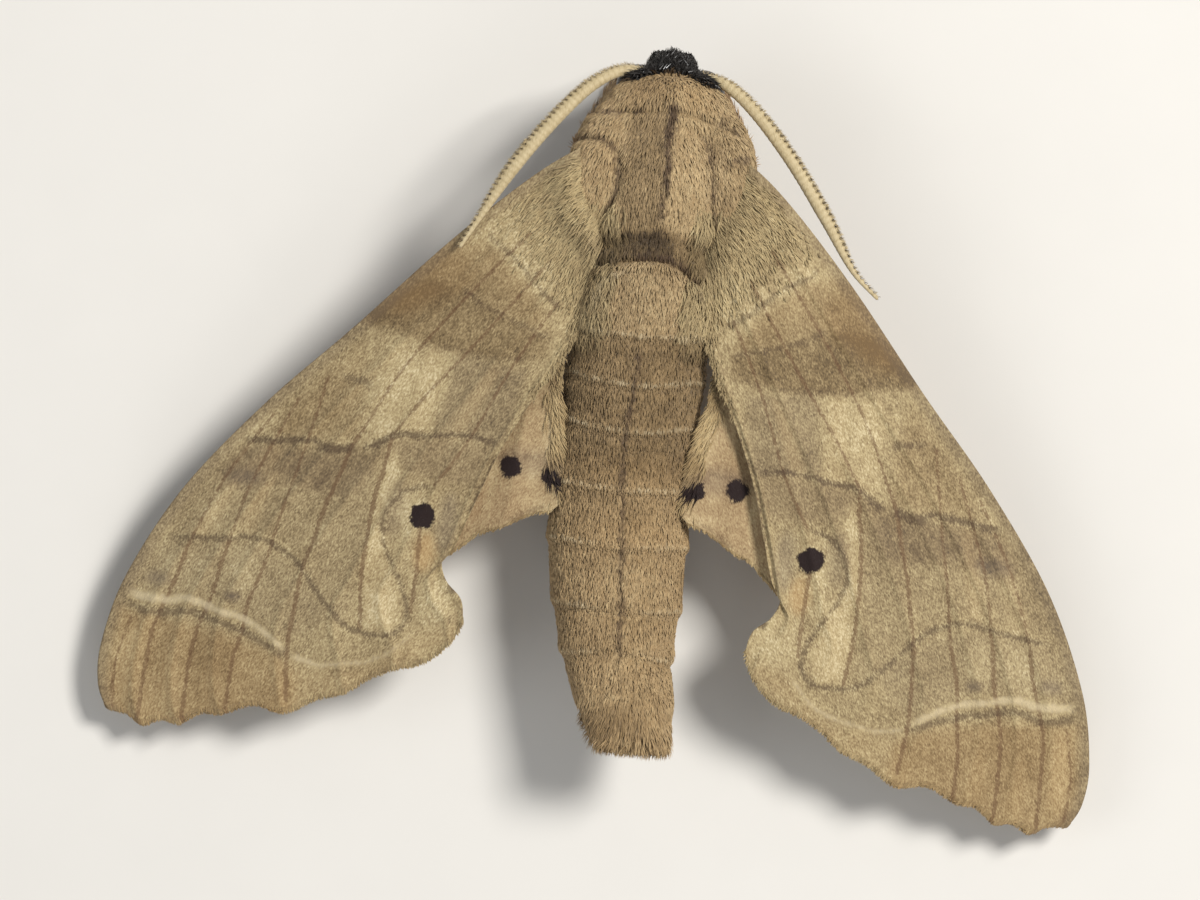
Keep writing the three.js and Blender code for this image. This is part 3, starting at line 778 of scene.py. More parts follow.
class Coat:
    """Grows tufts over a skin with one Geometry Nodes tree: they lie along the skin's own directions."""

    PATCH = 0.003  # width of a tuft's own area on the skin's map
    FLOOR_GAP = 0.00005  # how close to the floor a tuft may come, in metres

    def __init__(self) -> None:
        """Builds the tree."""
        self.tree = bpy.data.node_groups.new("coat_of_tufts", "GeometryNodeTree")
        sockets = self.tree.interface.new_socket
        sockets("Geometry", in_out="INPUT", socket_type="NodeSocketGeometry")
        floats = ("Per mm2", "Lift", "Lift spread", "Sway", "Shortest", "Longest")
        for label, kind in (("Tuft", "Object"), ("Finish", "Material"), ("Region", "String"),
                            *((label, "Float") for label in floats), ("Seed", "Int")):
            sockets(label, in_out="INPUT", socket_type="NodeSocket" + kind)
        sockets("Geometry", in_out="OUTPUT", socket_type="NodeSocketGeometry")
        wiring = Wiring(self.tree)
        given = wiring.add("NodeGroupInput").outputs
        region = self.named(wiring, given["Region"], "FLOAT")
        density = wiring.math("MULTIPLY", wiring.math("MULTIPLY", region, given["Per mm2"]), 1.0e6)
        scatter = wiring.add("GeometryNodeDistributePointsOnFaces", {
            "Mesh": given["Geometry"], "Density": density, "Seed": given["Seed"]})
        rooted = wiring.add("GeometryNodeStoreNamedAttribute", {
            "Geometry": scatter.outputs["Points"], "Name": "root_map",
            "Value": self.named(wiring, "OFBake", "FLOAT_VECTOR")}, data_type="FLOAT_VECTOR", domain="POINT")
        shaded = wiring.add("GeometryNodeStoreNamedAttribute", {
            "Geometry": rooted.outputs[0], "Name": "own_shade",
            "Value": self.random(wiring, -1.0, 1.0, given["Seed"], 6)}, data_type="FLOAT", domain="POINT")
        facing = wiring.add("FunctionNodeAxesToRotation", {
            0: scatter.outputs["Normal"], 1: self.named(wiring, "lie", "FLOAT_VECTOR")},
            primary_axis="Z", secondary_axis="Y")
        lift = wiring.math("MULTIPLY_ADD", self.random(wiring, -1.0, 1.0, given["Seed"], 1),
                           given["Lift spread"])
        wiring.tree.links.new(given["Lift"], lift.node.inputs[2])
        sway = wiring.math("MULTIPLY", self.random(wiring, -1.0, 1.0, given["Seed"], 2), given["Sway"])
        roll = self.random(wiring, -0.35, 0.35, given["Seed"], 3)
        turns = wiring.add("ShaderNodeCombineXYZ", {0: lift, 1: roll, 2: sway}).outputs[0]
        turned = wiring.add("FunctionNodeRotateRotation", {
            0: facing.outputs[0], 1: wiring.add("FunctionNodeEulerToRotation", {0: turns}).outputs[0]},
            rotation_space="LOCAL")
        share = self.random(wiring, given["Shortest"], given["Longest"], given["Seed"], 4)
        length = wiring.math("MULTIPLY", share, self.named(wiring, "coat_length", "FLOAT"))
        width = self.random(wiring, 0.7, 1.25, given["Seed"], 5)
        sizes = wiring.add("ShaderNodeCombineXYZ", {0: width, 1: length, 2: width}).outputs[0]
        tuft = wiring.add("GeometryNodeObjectInfo", {"Object": given["Tuft"]})
        placed = wiring.add("GeometryNodeInstanceOnPoints", {
            "Points": shaded.outputs[0], "Instance": tuft.outputs["Geometry"], "Rotation": turned.outputs[0],
            "Scale": sizes})
        real = wiring.add("GeometryNodeRealizeInstances", {"Geometry": placed.outputs[0]})
        patch = wiring.add("ShaderNodeVectorMath", {
            0: self.named(wiring, "tuft_map", "FLOAT_VECTOR"), 1: (self.PATCH,) * 3, 2: self.named(
                wiring, "root_map", "FLOAT_VECTOR")}, operation="MULTIPLY_ADD")
        mapped = wiring.add("GeometryNodeStoreNamedAttribute", {
            "Geometry": real.outputs[0], "Name": "OFBake", "Value": patch.outputs[0]},
            data_type="FLOAT2", domain="CORNER")
        geometry = mapped.outputs[0]
        for label in ("root_map", "tuft_map", "lie"):
            geometry = wiring.add("GeometryNodeRemoveAttribute",
                                  {"Geometry": geometry, "Name": label}).outputs[0]
        dressed = wiring.add("GeometryNodeSetMaterial", {"Geometry": geometry, "Material": given["Finish"]})
        wiring.add("NodeGroupOutput", {"Geometry": dressed.outputs[0]})

    @staticmethod
    def named(wiring: Wiring, name: Source | str, kind: str) -> bpy.types.NodeSocket:
        """A value kept on the mesh, read by its name."""
        return wiring.add("GeometryNodeInputNamedAttribute", {"Name": name},
                          data_type=kind).outputs["Attribute"]

    @staticmethod
    def random(wiring: Wiring, low: Source, high: Source, seed: Source, step: int) -> bpy.types.NodeSocket:
        """A random number for each tuft, another for each step."""
        own_seed = wiring.math("ADD", seed, float(step * 101))
        node = wiring.add("FunctionNodeRandomValue", data_type="FLOAT")
        for socket, value in zip([s for s in node.inputs if s.enabled], (low, high, None, own_seed)):
            if isinstance(value, bpy.types.NodeSocket):
                wiring.tree.links.new(value, socket)
            elif value is not None:
                socket.default_value = value
        return next(s for s in node.outputs if s.enabled)

    def grow(
        self, skin: bpy.types.Object, name: str, slot: str, tuft: Tuft, finish: Finish, **sizes: float | str
    ) -> None:
        """Grows one piece of coat and makes it part of the model, as a plain mesh.

        Args:
            skin: The mesh it grows on, with a lie, a coat length and a region.
            name: The new piece's name.
            slot: The record's slot for its finish. Not used.
            tuft: The tuft that is repeated.
            finish: What the piece is dressed in.
            sizes: The tree's other inputs by name, with _ for each space.
        """
        shape = tuft.to_object(name + "_tuft")
        given = {"Tuft": shape, "Finish": finish.material(), "Region": "coat", "Per mm2": 60.0, "Lift": 0.14,
                 "Lift spread": 0.08, "Sway": 0.22, "Shortest": 0.7, "Longest": 1.15, "Seed": 1}
        for key, value in sizes.items():
            given[key.replace("_", " ").replace("per mm2", "Per mm2")] = value
        modifier = skin.modifiers.new("coat", "NODES")
        modifier.node_group = self.tree
        for item in self.tree.interface.items_tree:
            if item.in_out == "INPUT" and item.name in given:
                modifier[item.identifier] = given[item.name]
        graph = bpy.context.evaluated_depsgraph_get()
        mesh = bpy.data.meshes.new_from_object(skin.evaluated_get(graph), preserve_all_data_layers=True,
                                               depsgraph=graph)
        skin.modifiers.remove(modifier)
        bpy.data.objects.remove(shape)
        places = np.empty(len(mesh.vertices) * 3, np.float32)
        mesh.vertices.foreach_get("co", places)
        low = self.FLOOR_GAP
        places[2::3] = np.where(places[2::3] < low, low * np.exp((places[2::3] - low) / (4.0 * low)),
                                places[2::3])
        mesh.vertices.foreach_set("co", places)
        mesh.name = name
        settle(add_object(name, mesh))


def settle(piece: bpy.types.Object, finish: Finish | None = None, nodes: tuple = ()) -> None:
    """Makes a piece part of the model.

    Args:
        piece: The finished mesh object.
        finish: What it is dressed in, where it isn't dressed yet.
        nodes: The part's nodes that it stands for.
    """
    if finish:
        piece.data.materials.clear()
        piece.data.materials.append(finish.material())
    if nodes:
        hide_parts(*nodes)
    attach(piece, BODY)
    log.info("%s: %d triangles", piece.name, len(piece.data.loops) - 2 * len(piece.data.polygons))


# The wings.


class Side(Enum):
    """Left or right of the moth."""

    LEFT = -1
    RIGHT = 1

    @property
    def word(self) -> str:
        """The side in lower case, as the part's names end."""
        return self.name.lower()


@dataclass
class WingGrid:
    """A wing's points in plan before it is swung, by row from root to outer edge.

    along and across are each point's shares of the way out and back, width is each row's length,
    and rim is 1 at the outer edge and 0 further in.
    """

    place: np.ndarray
    along: np.ndarray
    across: np.ndarray
    width: np.ndarray
    rim: np.ndarray


@dataclass
class Wing:
    """One wing: a patch between its front edge, outer edge and inner edge, with veins and markings."""

    side: Side
    kind: str
    costa: tuple
    termen: tuple
    dorsum: tuple
    veins: tuple
    patches: tuple
    strokes: tuple
    pale_lines: tuple
    vein_lines: tuple
    spots: tuple
    spread: dict = field(default_factory=lambda: {Side.LEFT: 4.0, Side.RIGHT: 0.0})
    hinge: tuple = (4.5, -6.0)
    plane_top: float = 12.1
    rest_y: float = -8.0
    roof_fall: float = 0.165
    rear_fall: float = 0.115
    top_offset: float = 0.57
    camber: float = 0.6
    thickness: float = 0.22
    vein_rise: float = 0.15
    vein_half: float = 0.28
    fold_depth: float = 0.15
    wave: float = 0.09
    across: int = 160
    along: int = 270
    rim_reach: float = 1.4
    edge_inset: float = 0.24
    edge_share: float = 0.4
    tone: float = 0.1
    warm: float = 0.0
    root_dip: float = 0.6
    root_sink: float = 0.7
    flank: tuple = ((6.1, -1.5), (6.3, -4.0), (6.2, -6.2), (5.8, -7.8), (5.0, -8.9), (4.0, -9.8))
    shoulder_rise: float = 0.6
    shoulder_reach: float = 1.25
    inner_hair: float = 0.4

    def plan(self) -> WingGrid:
        """The wing's grid, drawn in a little at the outer edge to leave room for the fringe."""
        front, back, outer = (
            spline(edge, EDGE_SAMPLES) for edge in (self.costa, self.dorsum, self.termen))
        inner = np.linspace(front[0], back[0], EDGE_SAMPLES)
        u, v = np.meshgrid(np.linspace(0.0, 1.0, self.along) ** 0.9, np.linspace(0.0, 1.0, self.across),
                           indexing="ij")

        def at(line: np.ndarray, share: np.ndarray) -> np.ndarray:
            """The line's points at these shares of its length."""
            steps = np.linspace(0.0, 1.0, len(line))
            return np.stack([np.interp(share, steps, line[:, axis]) for axis in range(2)], axis=-1)

        place = (
            (1 - v)[..., None] * at(front, u) + v[..., None] * at(back, u)
            + (1 - u)[..., None] * at(inner, v) + u[..., None] * at(outer, v)
            - ((1 - u) * (1 - v))[..., None] * front[0] - ((1 - u) * v)[..., None] * back[0]
            - (u * (1 - v))[..., None] * front[-1] - (u * v)[..., None] * back[-1]
        )
        rim = 1.0 - ramp(0.0, self.rim_reach, np.linalg.norm(place[-1:] - place, axis=2))
        place = place - unit(place[-1:] - place[-12:-11]) * (rim * self.edge_inset)[..., None]
        width = np.linalg.norm(np.diff(place, axis=1), axis=2).sum(axis=1)[:, None]
        return WingGrid(place, u, v, width, rim)

    def vein_columns(self) -> list[tuple[float, float]]:
        """Each vein's share of the way across, from front to back, and the share along where it starts."""
        outer = spline(self.termen, EDGE_SAMPLES)
        found = []
        for end, start in self.veins:
            nearest = np.linalg.norm(outer - np.array(self.termen[end]), axis=1).argmin()
            found.append((nearest / (EDGE_SAMPLES - 1.0), start))
        return found

    def relief(self, grid: WingGrid) -> np.ndarray:
        """How far the top stands above the plain sheet: veins, folds between them and slow waves."""
        columns = self.vein_columns()
        rise = np.zeros_like(grid.along)
        for column, start in columns:
            gap = np.abs(grid.across - column) * grid.width
            vein = self.vein_rise * hump(gap, 0.0, self.vein_half)
            rise += vein * ramp(start - 0.02, start + 0.12, grid.along)
        knots = np.array([0.0] + [column for column, _ in columns] + [1.0])
        cell = np.interp(grid.across, knots, np.arange(len(knots)))
        rise -= self.fold_depth * np.sin(math.pi * cell) ** 2 * ramp(0.25, 0.8, grid.along)
        x, y = grid.place[..., 0], grid.place[..., 1]
        waves = self.wave * np.sin(0.42 * x + 0.2 * y + 0.6) * np.sin(0.31 * y - 0.14 * x)
        return rise + waves * ramp(0.1, 0.4, grid.along)

    def marks(self, places: np.ndarray) -> Marks:
        """The wing's pattern at places in plan."""
        marks = Marks.plain(len(places), self.tone, self.warm)
        from_front, _ = distance_to_line(places, spline(self.costa, 60))
        marks.tone -= 0.22 * ramp(1.1, 0.4, from_front)
        marks.lilac += 0.16 * ramp(1.1, 0.3, from_front)
        marks.add_patches(places, self.patches)
        marks.add_lines(Line.INK, places, self.strokes)
        marks.add_lines(Line.PALE, places, self.pale_lines)
        for stroke in self.vein_lines:
            gap, width, _ = stroke.field(places)
            marks.vein_gap = np.minimum(marks.vein_gap, gap - width)
        for x, y, size in self.spots:
            marks.spot_gap = np.minimum(marks.spot_gap, np.hypot(places[:, 0] - x, places[:, 1] - y) - size)
        return marks

    def swing(self, place: np.ndarray) -> np.ndarray:
        """Turns the wing about its hinge, and puts it on its side."""
        turn = math.radians(self.spread[self.side])
        offset = place - np.array(self.hinge)
        x = self.hinge[0] + offset[..., 0] * math.cos(turn) - offset[..., 1] * math.sin(turn)
        y = self.hinge[1] + offset[..., 0] * math.sin(turn) + offset[..., 1] * math.cos(turn)
        return np.stack([x * self.side.value, y], axis=-1)

    def surface(self, grid: WingGrid) -> tuple[np.ndarray, np.ndarray]:
        """The top's points on the model's slope, and the wing's thickness under each."""
        moved = self.swing(grid.place)
        plane = self.plane_top - self.roof_fall * np.abs(moved[..., 0]) - self.rear_fall * np.maximum(
            0.0, self.rest_y - moved[..., 1])
        bulge = self.camber * np.sin(math.pi * grid.across) * ramp(0.0, 0.5, grid.along)
        height = plane + self.top_offset + self.relief(grid) + bulge
        height = height - self.root_dip * ramp(0.42, 0.1, grid.along) * ramp(0.45, 0.95, grid.across)
        height = height - self.root_sink * ramp(0.06, 0.0, grid.along)
        mirrored = np.abs(moved.reshape(-1, 2)) * [1.0, -1.0]
        to_flank, _ = distance_to_line(mirrored, spline(self.flank, 40))
        height = height + self.shoulder_rise * hump(to_flank.reshape(height.shape), 0.0, self.shoulder_reach)
        to_side = np.minimum(grid.across, 1.0 - grid.across) * grid.width
        rim = np.maximum(grid.rim, 1.0 - ramp(0.0, 1.0, to_side))
        thick = self.thickness * (self.edge_share + (1.0 - self.edge_share) * (1.0 - rim))
        return np.concatenate([moved, height[..., None]], axis=2), thick

    def shell(self, top: np.ndarray, thick: np.ndarray) -> tuple[np.ndarray, np.ndarray]:
        """Points and faces of the closed sheet: its top, its underside and the wall between them."""
        bottom = top.copy()
        bottom[..., 2] -= thick
        count, wide = thick.shape
        size = count * wide
        row, column = np.meshgrid(np.arange(count - 1), np.arange(wide - 1), indexing="ij")
        corner = (row * wide + column).ravel()
        upper = np.stack([corner, corner + wide, corner + wide + 1, corner + 1], axis=1)
        rim = np.concatenate([
            np.arange(wide), np.arange(1, count) * wide + wide - 1,
            (count - 1) * wide + np.arange(wide - 2, -1, -1), np.arange(count - 2, 0, -1) * wide])
        after = np.roll(rim, -1)
        wall = np.stack([rim, after, after + size, rim + size], axis=1)
        quads = np.concatenate([upper, upper[:, ::-1] + size, wall])
        points = np.concatenate([top.reshape(-1, 3), bottom.reshape(-1, 3)])
        return points, quads[:, ::-1] if self.side is Side.RIGHT else quads

    def coat_values(self, grid: WingGrid, top: np.ndarray) -> dict[str, np.ndarray]:
        """Where fringe and hair grow on the top, how long they are, and how they lie on both sides."""
        inward, outward = unit(np.gradient(top, axis=1)), unit(np.gradient(top, axis=0))
        lean = inward * 0.5 * ramp(0.9, 1.0, grid.across)[..., None]
        lie = unit((outward + lean).reshape(-1, 3))
        length = (1.0 - 0.6 * ramp(0.05, 0.2, grid.along) * (grid.along < 0.5)).ravel()
        fringe = np.zeros(grid.along.shape)
        fringe[-2:, :] = 1.0
        base = (1.0 - ramp(0.02, 0.2, grid.along)) * ramp(0.03, 0.12, grid.across)
        reach = self.inner_hair
        inner = ramp(1.3, 0.2, (1.0 - grid.across) * grid.width) * ramp(reach, reach - 0.15, grid.along)
        values = {name: np.concatenate([region.ravel(), np.zeros(region.size)])
                  for name, region in (("fringe", fringe), ("base", base), ("inner", inner))}
        return {"lie": np.tile(lie, (2, 1)), "coat_length": np.tile(length, 2), **values}

    def sheet(self) -> Sheet:
        """The closed sheet, with its marks, its map and the directions of its scales."""
        grid = self.plan()
        top, thick = self.surface(grid)
        points, quads = self.shell(top, thick)
        flat = grid.place.reshape(-1, 2)
        upper_map = (flat + np.array(MAP_CORNER)) / np.array(MAP_SIZE)
        flat_map = np.concatenate([upper_map, upper_map + np.array([0.5, 0.0])])
        values = {key: np.concatenate([value, value * UNDERSIDE.get(key, 1.0)])
                  for key, value in self.marks(flat).attributes().items()}
        turn = math.radians(SCALE_ROWS_DEG)
        weave = np.stack([flat[:, 0] * math.cos(turn) + flat[:, 1] * math.sin(turn),
                          flat[:, 1] * math.cos(turn) - flat[:, 0] * math.sin(turn),
                          np.full(len(flat), 7.0 * self.side.value)], axis=1)
        values["weave"] = np.concatenate([weave, weave + [0.0, 0.0, 3.0]])
        values.update(self.coat_values(grid, top))
        return Sheet(points, quads, np.zeros((0, 3), int), flat_map[quads.ravel()], values)

    def build(self, coat: Coat) -> None:
        """Builds the wing, the scales along its edges and the hair at its root and along its inner edge."""
        name = f"{self.kind}_{self.side.word}"
        wing = self.sheet().to_object(f"{name}_scaled")
        finish = Finish.FOREWING if self.kind == "forewing" else Finish.HINDWING
        settle(wing, finish, (name,))
        coat.grow(wing, f"{name}_fringe", self.kind, Tuft(0.46, 0.13, 0.035, 0.02), Finish.WING_HAIR,
                  Region="fringe", per_mm2=190.0, Lift=-0.1, Lift_spread=0.1, Sway=0.24, Shortest=0.75,
                  Longest=1.1, Seed=11)
        coat.grow(wing, f"{name}_base_hair", self.kind, Tuft(1.15, 0.1, 0.04, 0.1), Finish.WING_HAIR,
                  Region="base", per_mm2=56.0, Lift=0.1, Lift_spread=0.07, Sway=0.3, Seed=12)
        coat.grow(wing, f"{name}_inner_hair", self.kind, Tuft(1.1, 0.1, 0.04, 0.1), Finish.WING_HAIR,
                  Region="inner", per_mm2=70.0, Lift=0.08, Lift_spread=0.12, Sway=0.3, Seed=13)


def forewing(side: Side) -> Wing:
    """The front wing of one side, with its bands, its swirl and its spot."""
    postmedial = ((8.0, -24.7), (10.4, -24.5), (12.1, -24.7), (13.5, -25.0), (15.0, -25.1), (15.8, -25.5),
                  (17.0, -26.3), (18.3, -26.5), (19.5, -26.8), (21.0, -26.6), (22.4, -26.7), (23.6, -26.9),
                  (25.1, -27.1), (25.9, -27.4))
    swirl = ((30.5, -34.8), (28.8, -34.6), (27.2, -34.4), (25.5, -34.1), (24.2, -33.8), (23.1, -33.9),
             (22.0, -34.3), (20.9, -34.9), (20.0, -35.8), (19.0, -36.9), (17.8, -38.0), (16.6, -38.9),
             (15.5, -39.1), (14.3, -39.1), (13.4, -38.8), (12.8, -38.1), (12.7, -37.0), (13.2, -35.7),
             (13.9, -34.5), (14.8, -33.1), (15.3, -31.6), (15.1, -30.4), (14.4, -29.2), (13.6, -28.7),
             (12.7, -28.4), (11.8, -28.6))
    subterminal = ((32.3, -39.7), (31.0, -40.0), (29.7, -40.1), (28.4, -39.7), (27.2, -39.6), (25.9, -40.0),
                   (24.5, -40.2), (23.0, -40.6), (21.6, -41.2), (20.4, -41.7))
    pale_band = ((32.4, -39.0), (30.8, -39.1), (29.3, -39.1), (28.1, -38.8), (26.9, -38.9), (25.7, -39.2),
                 (24.3, -39.4), (22.8, -39.9), (21.7, -40.5), (20.3, -41.4))
    pale_end = ((20.3, -41.5), (19.1, -41.7), (18.0, -41.8), (16.7, -41.5), (15.4, -41.2), (14.6, -40.9),
                (13.6, -40.3), (12.7, -39.4), (12.0, -38.5))
    strokes = (
        # Two curved lines near the root, and the edge of the dark band.
        Stroke(((5.1, -15.1), (6.0, -14.5), (6.8, -14.0), (7.9, -13.0), (8.9, -12.1), (10.0, -11.4),
                (11.0, -10.8), (11.1, -10.0)), 0.10, 0.10, 0.5, 0.1),
        Stroke(((5.9, -16.9), (6.9, -16.7), (8.6, -16.2), (9.7, -15.8), (10.9, -15.4), (11.7, -14.9),
                (12.5, -14.6)), 0.05, 0.12, 0.42, 0.05),
        Stroke(((6.4, -18.3), (7.6, -18.6), (9.2, -18.9), (10.5, -18.9), (12.2, -18.7), (13.9, -18.8),
                (14.9, -18.6)), 0.08, 0.12, 0.24, 0.1),
        # The mark in the middle, the long cross line, the swirl and the wavy line near the edge.
        Stroke(((17.3, -22.1), (18.6, -21.9), (20.1, -21.7)), 0.26, 0.08, 0.5, 0.2),
        Stroke(postmedial, 0.1, 0.2, 0.66, 0.05),
        Stroke(((17.6, -26.4), (18.6, -26.7), (19.8, -27.0), (21.0, -26.7)), 0.26, 0.22, 0.7, 0.3),
        Stroke(swirl, 0.13, 0.08, 0.56, 0.05),
        Stroke(subterminal, 0.24, 0.14, 0.5, 0.05),
        # Small shadows, the fold along the inner edge and the dark rim of the notch.
        Stroke(((19.7, -28.9), (19.9, -29.2), (20.2, -29.6)), 0.3, 0.3, 0.3),
        Stroke(((21.4, -28.4), (22.3, -28.8), (23.4, -28.7)), 0.2, 0.2, 0.2, 0.2),
        Stroke(((6.1, -20.8), (7.4, -23.8), (8.7, -27.1), (9.7, -30.4)), 0.06, 0.06, 0.6, 0.08),
        Stroke(((10.6, -33.2), (10.1, -34.4), (9.5, -35.5)), 0.2, 0.25, 0.7, 0.15),
    )
    patches = (
        # The pale root, the brown space past it and the dark band.
        Patch(((4.5, -3.0), (9.0, -6.0), (13.0, -10.6), (11.4, -12.4), (8.0, -14.6), (4.8, -15.6)), 1.0, 0.24,
              0.03),
        Patch(((6.0, -16.4), (9.0, -12.8), (13.6, -11.2), (19.0, -17.8), (15.4, -16.2), (12.4, -14.6),
               (9.0, -16.0)), 0.6, -0.34, 0.08),
        Patch(((13.6, -11.6), (17.0, -15.6), (16.0, -17.2), (12.6, -15.0), (12.0, -12.8)), 0.8, -0.14, 0.08),
        Patch(((5.9, -16.9), (9.0, -16.0), (12.4, -14.6), (16.0, -15.0), (18.6, -17.6), (16.0, -18.2),
               (13.9, -18.8), (10.5, -19.0), (6.4, -18.5)), 0.4, -0.52, 0.04),
        # The middle of the wing, grey behind and pale in front, with pale rays.
        Patch(((7.2, -19.5), (9.5, -19.3), (11.9, -19.1), (12.3, -21.6), (12.7, -24.3), (10.4, -24.5),
               (8.0, -24.6)), 0.45, -0.24, 0.0, 0.12),
        Patch(((12.6, -19.4), (15.0, -19.0), (17.6, -18.8), (20.4, -21.4), (17.6, -22.4), (18.0, -26.0),
               (15.2, -25.0), (13.0, -24.6)), 0.9, 0.12),
        Patch(((12.9, -19.4), (14.1, -19.2), (14.5, -24.8), (13.3, -24.6)), 0.5, 0.2, 0.06),
        Patch(((14.7, -19.2), (16.5, -19.2), (17.0, -22.5), (16.7, -25.4), (15.2, -25.0)), 0.5, 0.22, 0.04),
        Patch(((8.9, -19.8), (9.7, -19.8), (11.6, -24.3), (10.7, -24.3)), 0.4, 0.2, 0.1),
        Patch(((17.8, -22.6), (18.6, -19.4), (20.8, -21.6), (23.0, -24.8), (23.4, -26.4), (19.5, -26.2),
               (18.0, -25.4)), 0.8, -0.24, 0.05),
        Patch(((24.3, -24.8), (27.2, -28.6), (25.6, -27.2), (23.8, -25.6)), 0.5, 0.3),
        # The shade outside the cross line.
        Patch(((15.4, -25.8), (19.5, -27.1), (25.4, -27.7), (26.6, -30.4), (22.4, -29.6), (18.5, -30.0),
               (16.4, -28.0)), 0.7, -0.34, 0.04, 0.1),
        Patch(ellipse(25.3, -29.8, 1.3, 0.6), 0.6, -0.4, 0.0, 0.2),
        Patch(((8.6, -25.0), (12.0, -24.9), (15.2, -25.6), (14.2, -27.6), (12.4, -27.8), (9.4, -27.6)), 0.6,
              -0.22, 0.04, 0.12),
        # The pale ray and the ground inside the swirl.
        Patch(((15.2, -26.4), (15.9, -29.7), (16.1, -33.1), (15.9, -36.5), (15.2, -38.6), (13.7, -38.4),
               (13.5, -36.6), (14.6, -33.4), (15.2, -31.0), (14.8, -28.0)), 0.5, 0.4, 0.06),
        Patch(((17.6, -27.0), (19.0, -30.0), (20.0, -35.0), (20.2, -37.5), (18.4, -38.4), (16.6, -38.0),
               (16.4, -33.0), (16.2, -28.5)), 0.5, -0.04, 0.0, 0.06),
        Patch(((18.2, -27.2), (22.4, -27.2), (26.6, -28.4), (30.4, -34.0), (24.2, -33.2), (21.0, -34.2),
               (20.2, -33.4), (19.2, -30.0)), 0.6, -0.12, 0.0, 0.05),
        Patch(((22.9, -27.6), (23.7, -27.6), (24.9, -32.8), (24.0, -33.0)), 0.4, 0.16, 0.08),
        Patch(((25.2, -28.6), (26.2, -29.0), (28.2, -33.6), (27.0, -33.8)), 0.4, 0.2, 0.04),
        # Between the swirl and the pale line near the edge.
        Patch(((21.0, -35.4), (24.2, -34.2), (30.6, -35.2), (32.3, -38.4), (28.2, -38.2), (24.4, -38.7),
               (20.6, -40.2), (18.4, -38.6)), 0.6, -0.06, 0.0, 0.08),
        Patch(((23.6, -35.2), (25.4, -34.8), (26.0, -37.6), (24.2, -38.0)), 0.4, 0.14),
        Patch(((26.6, -35.0), (28.2, -35.4), (28.8, -38.0), (27.0, -37.8)), 0.4, 0.16),
        Patch(ellipse(30.2, -37.7, 0.75, 0.4), 0.5, -0.3, 0.0, 0.3),
        Patch(ellipse(24.8, -38.1, 0.5, 0.3), 0.4, -0.7, 0.0, 0.3),
        # Round the spot and at the rear corner.
        Patch(ellipse(14.6, -30.2, 0.8, 1.9), 0.7, -0.2, 0.0, 0.2),
        Patch(ellipse(13.4, -30.4, 1.1, 1.7), 0.5, 0.3),
        Patch(ellipse(13.6, -33.4, 0.5, 1.8), 0.4, 0.2),
        Patch(ellipse(10.9, -30.6, 0.7, 2.0), 0.6, -0.1, 0.0, 0.3),
        Patch(ellipse(12.1, -32.9, 0.7, 1.3), 0.5, 0.14, 0.34),
        Patch(ellipse(10.9, -36.2, 1.3, 1.6), 0.9, 0.36),
        # The brown outer edge with its pale rays.
        Patch(((20.2, -42.2), (14.6, -41.2), (12.0, -38.6), (9.0, -38.0), (12.8, -41.4), (20.0, -45.8)), 0.8,
              0.0, 0.08),
        Patch(((32.5, -40.2), (28.4, -40.4), (24.4, -40.8), (20.2, -42.2), (20.0, -46.0), (25.0, -47.5),
               (32.0, -48.0)), 0.7, -0.2, 0.16),
        Patch(((29.6, -41.0), (27.0, -41.0), (24.0, -41.6), (24.2, -43.6), (27.0, -43.4), (29.9, -43.6)), 0.9,
              -0.18),
        Patch(ellipse(31.4, -43.6, 0.7, 2.8), 0.5, 0.26, 0.06),
        Patch(ellipse(28.6, -45.0, 0.5, 2.2), 0.4, 0.16, 0.04),
        Patch(ellipse(25.6, -44.6, 0.5, 2.0), 0.4, 0.12, 0.04),
    )
    brown, faint = 0.06, 0.01  # half widths of the plain veins and of the ones that hardly show
    vein_lines = tuple(Stroke(points, brown, brown, 1.0) for points in (
        ((17.5, -24.9), (18.2, -26.4), (18.8, -28.7), (19.4, -30.9), (19.8, -33.0), (20.3, -35.5),
         (20.4, -37.6), (20.5, -40.0), (20.4, -41.9), (20.0, -44.6)),
        ((15.6, -25.3), (15.7, -27.0), (16.1, -29.7), (16.2, -33.1), (16.1, -36.0), (15.7, -38.7)),
        ((12.7, -31.2), (12.5, -33.7), (12.4, -37.1)),
        ((28.5, -35.3), (28.9, -37.4), (29.7, -40.0), (30.0, -41.4), (30.1, -44.0), (30.1, -47.6)),
        ((25.6, -34.3), (25.9, -35.7), (26.2, -37.9), (26.7, -40.0), (27.0, -41.4), (27.1, -43.9),
         (27.0, -47.3)),
        ((22.9, -35.4), (23.3, -36.9), (23.7, -38.7), (23.8, -40.4), (24.1, -42.5), (24.1, -44.9),
         (24.1, -45.9)),
    )) + tuple(Stroke(points, faint, faint, 1.0) for points in (
        ((8.0, -9.5), (12.0, -15.0), (15.5, -20.5), (17.5, -24.9)),
        ((6.6, -11.5), (10.5, -17.5), (13.6, -22.0), (15.6, -25.3)),
        ((5.8, -14.5), (8.2, -19.4), (10.4, -25.0), (12.2, -28.2)),
        ((20.6, -22.0), (21.5, -27.5), (22.2, -31.0), (22.9, -35.4)),
        ((22.4, -23.8), (24.0, -28.0), (25.0, -31.0), (25.6, -34.3)),
        ((24.0, -25.2), (26.4, -29.6), (27.6, -32.6), (28.5, -35.3)),
        ((31.6, -40.6), (32.2, -43.8), (32.0, -46.9)),
    ))
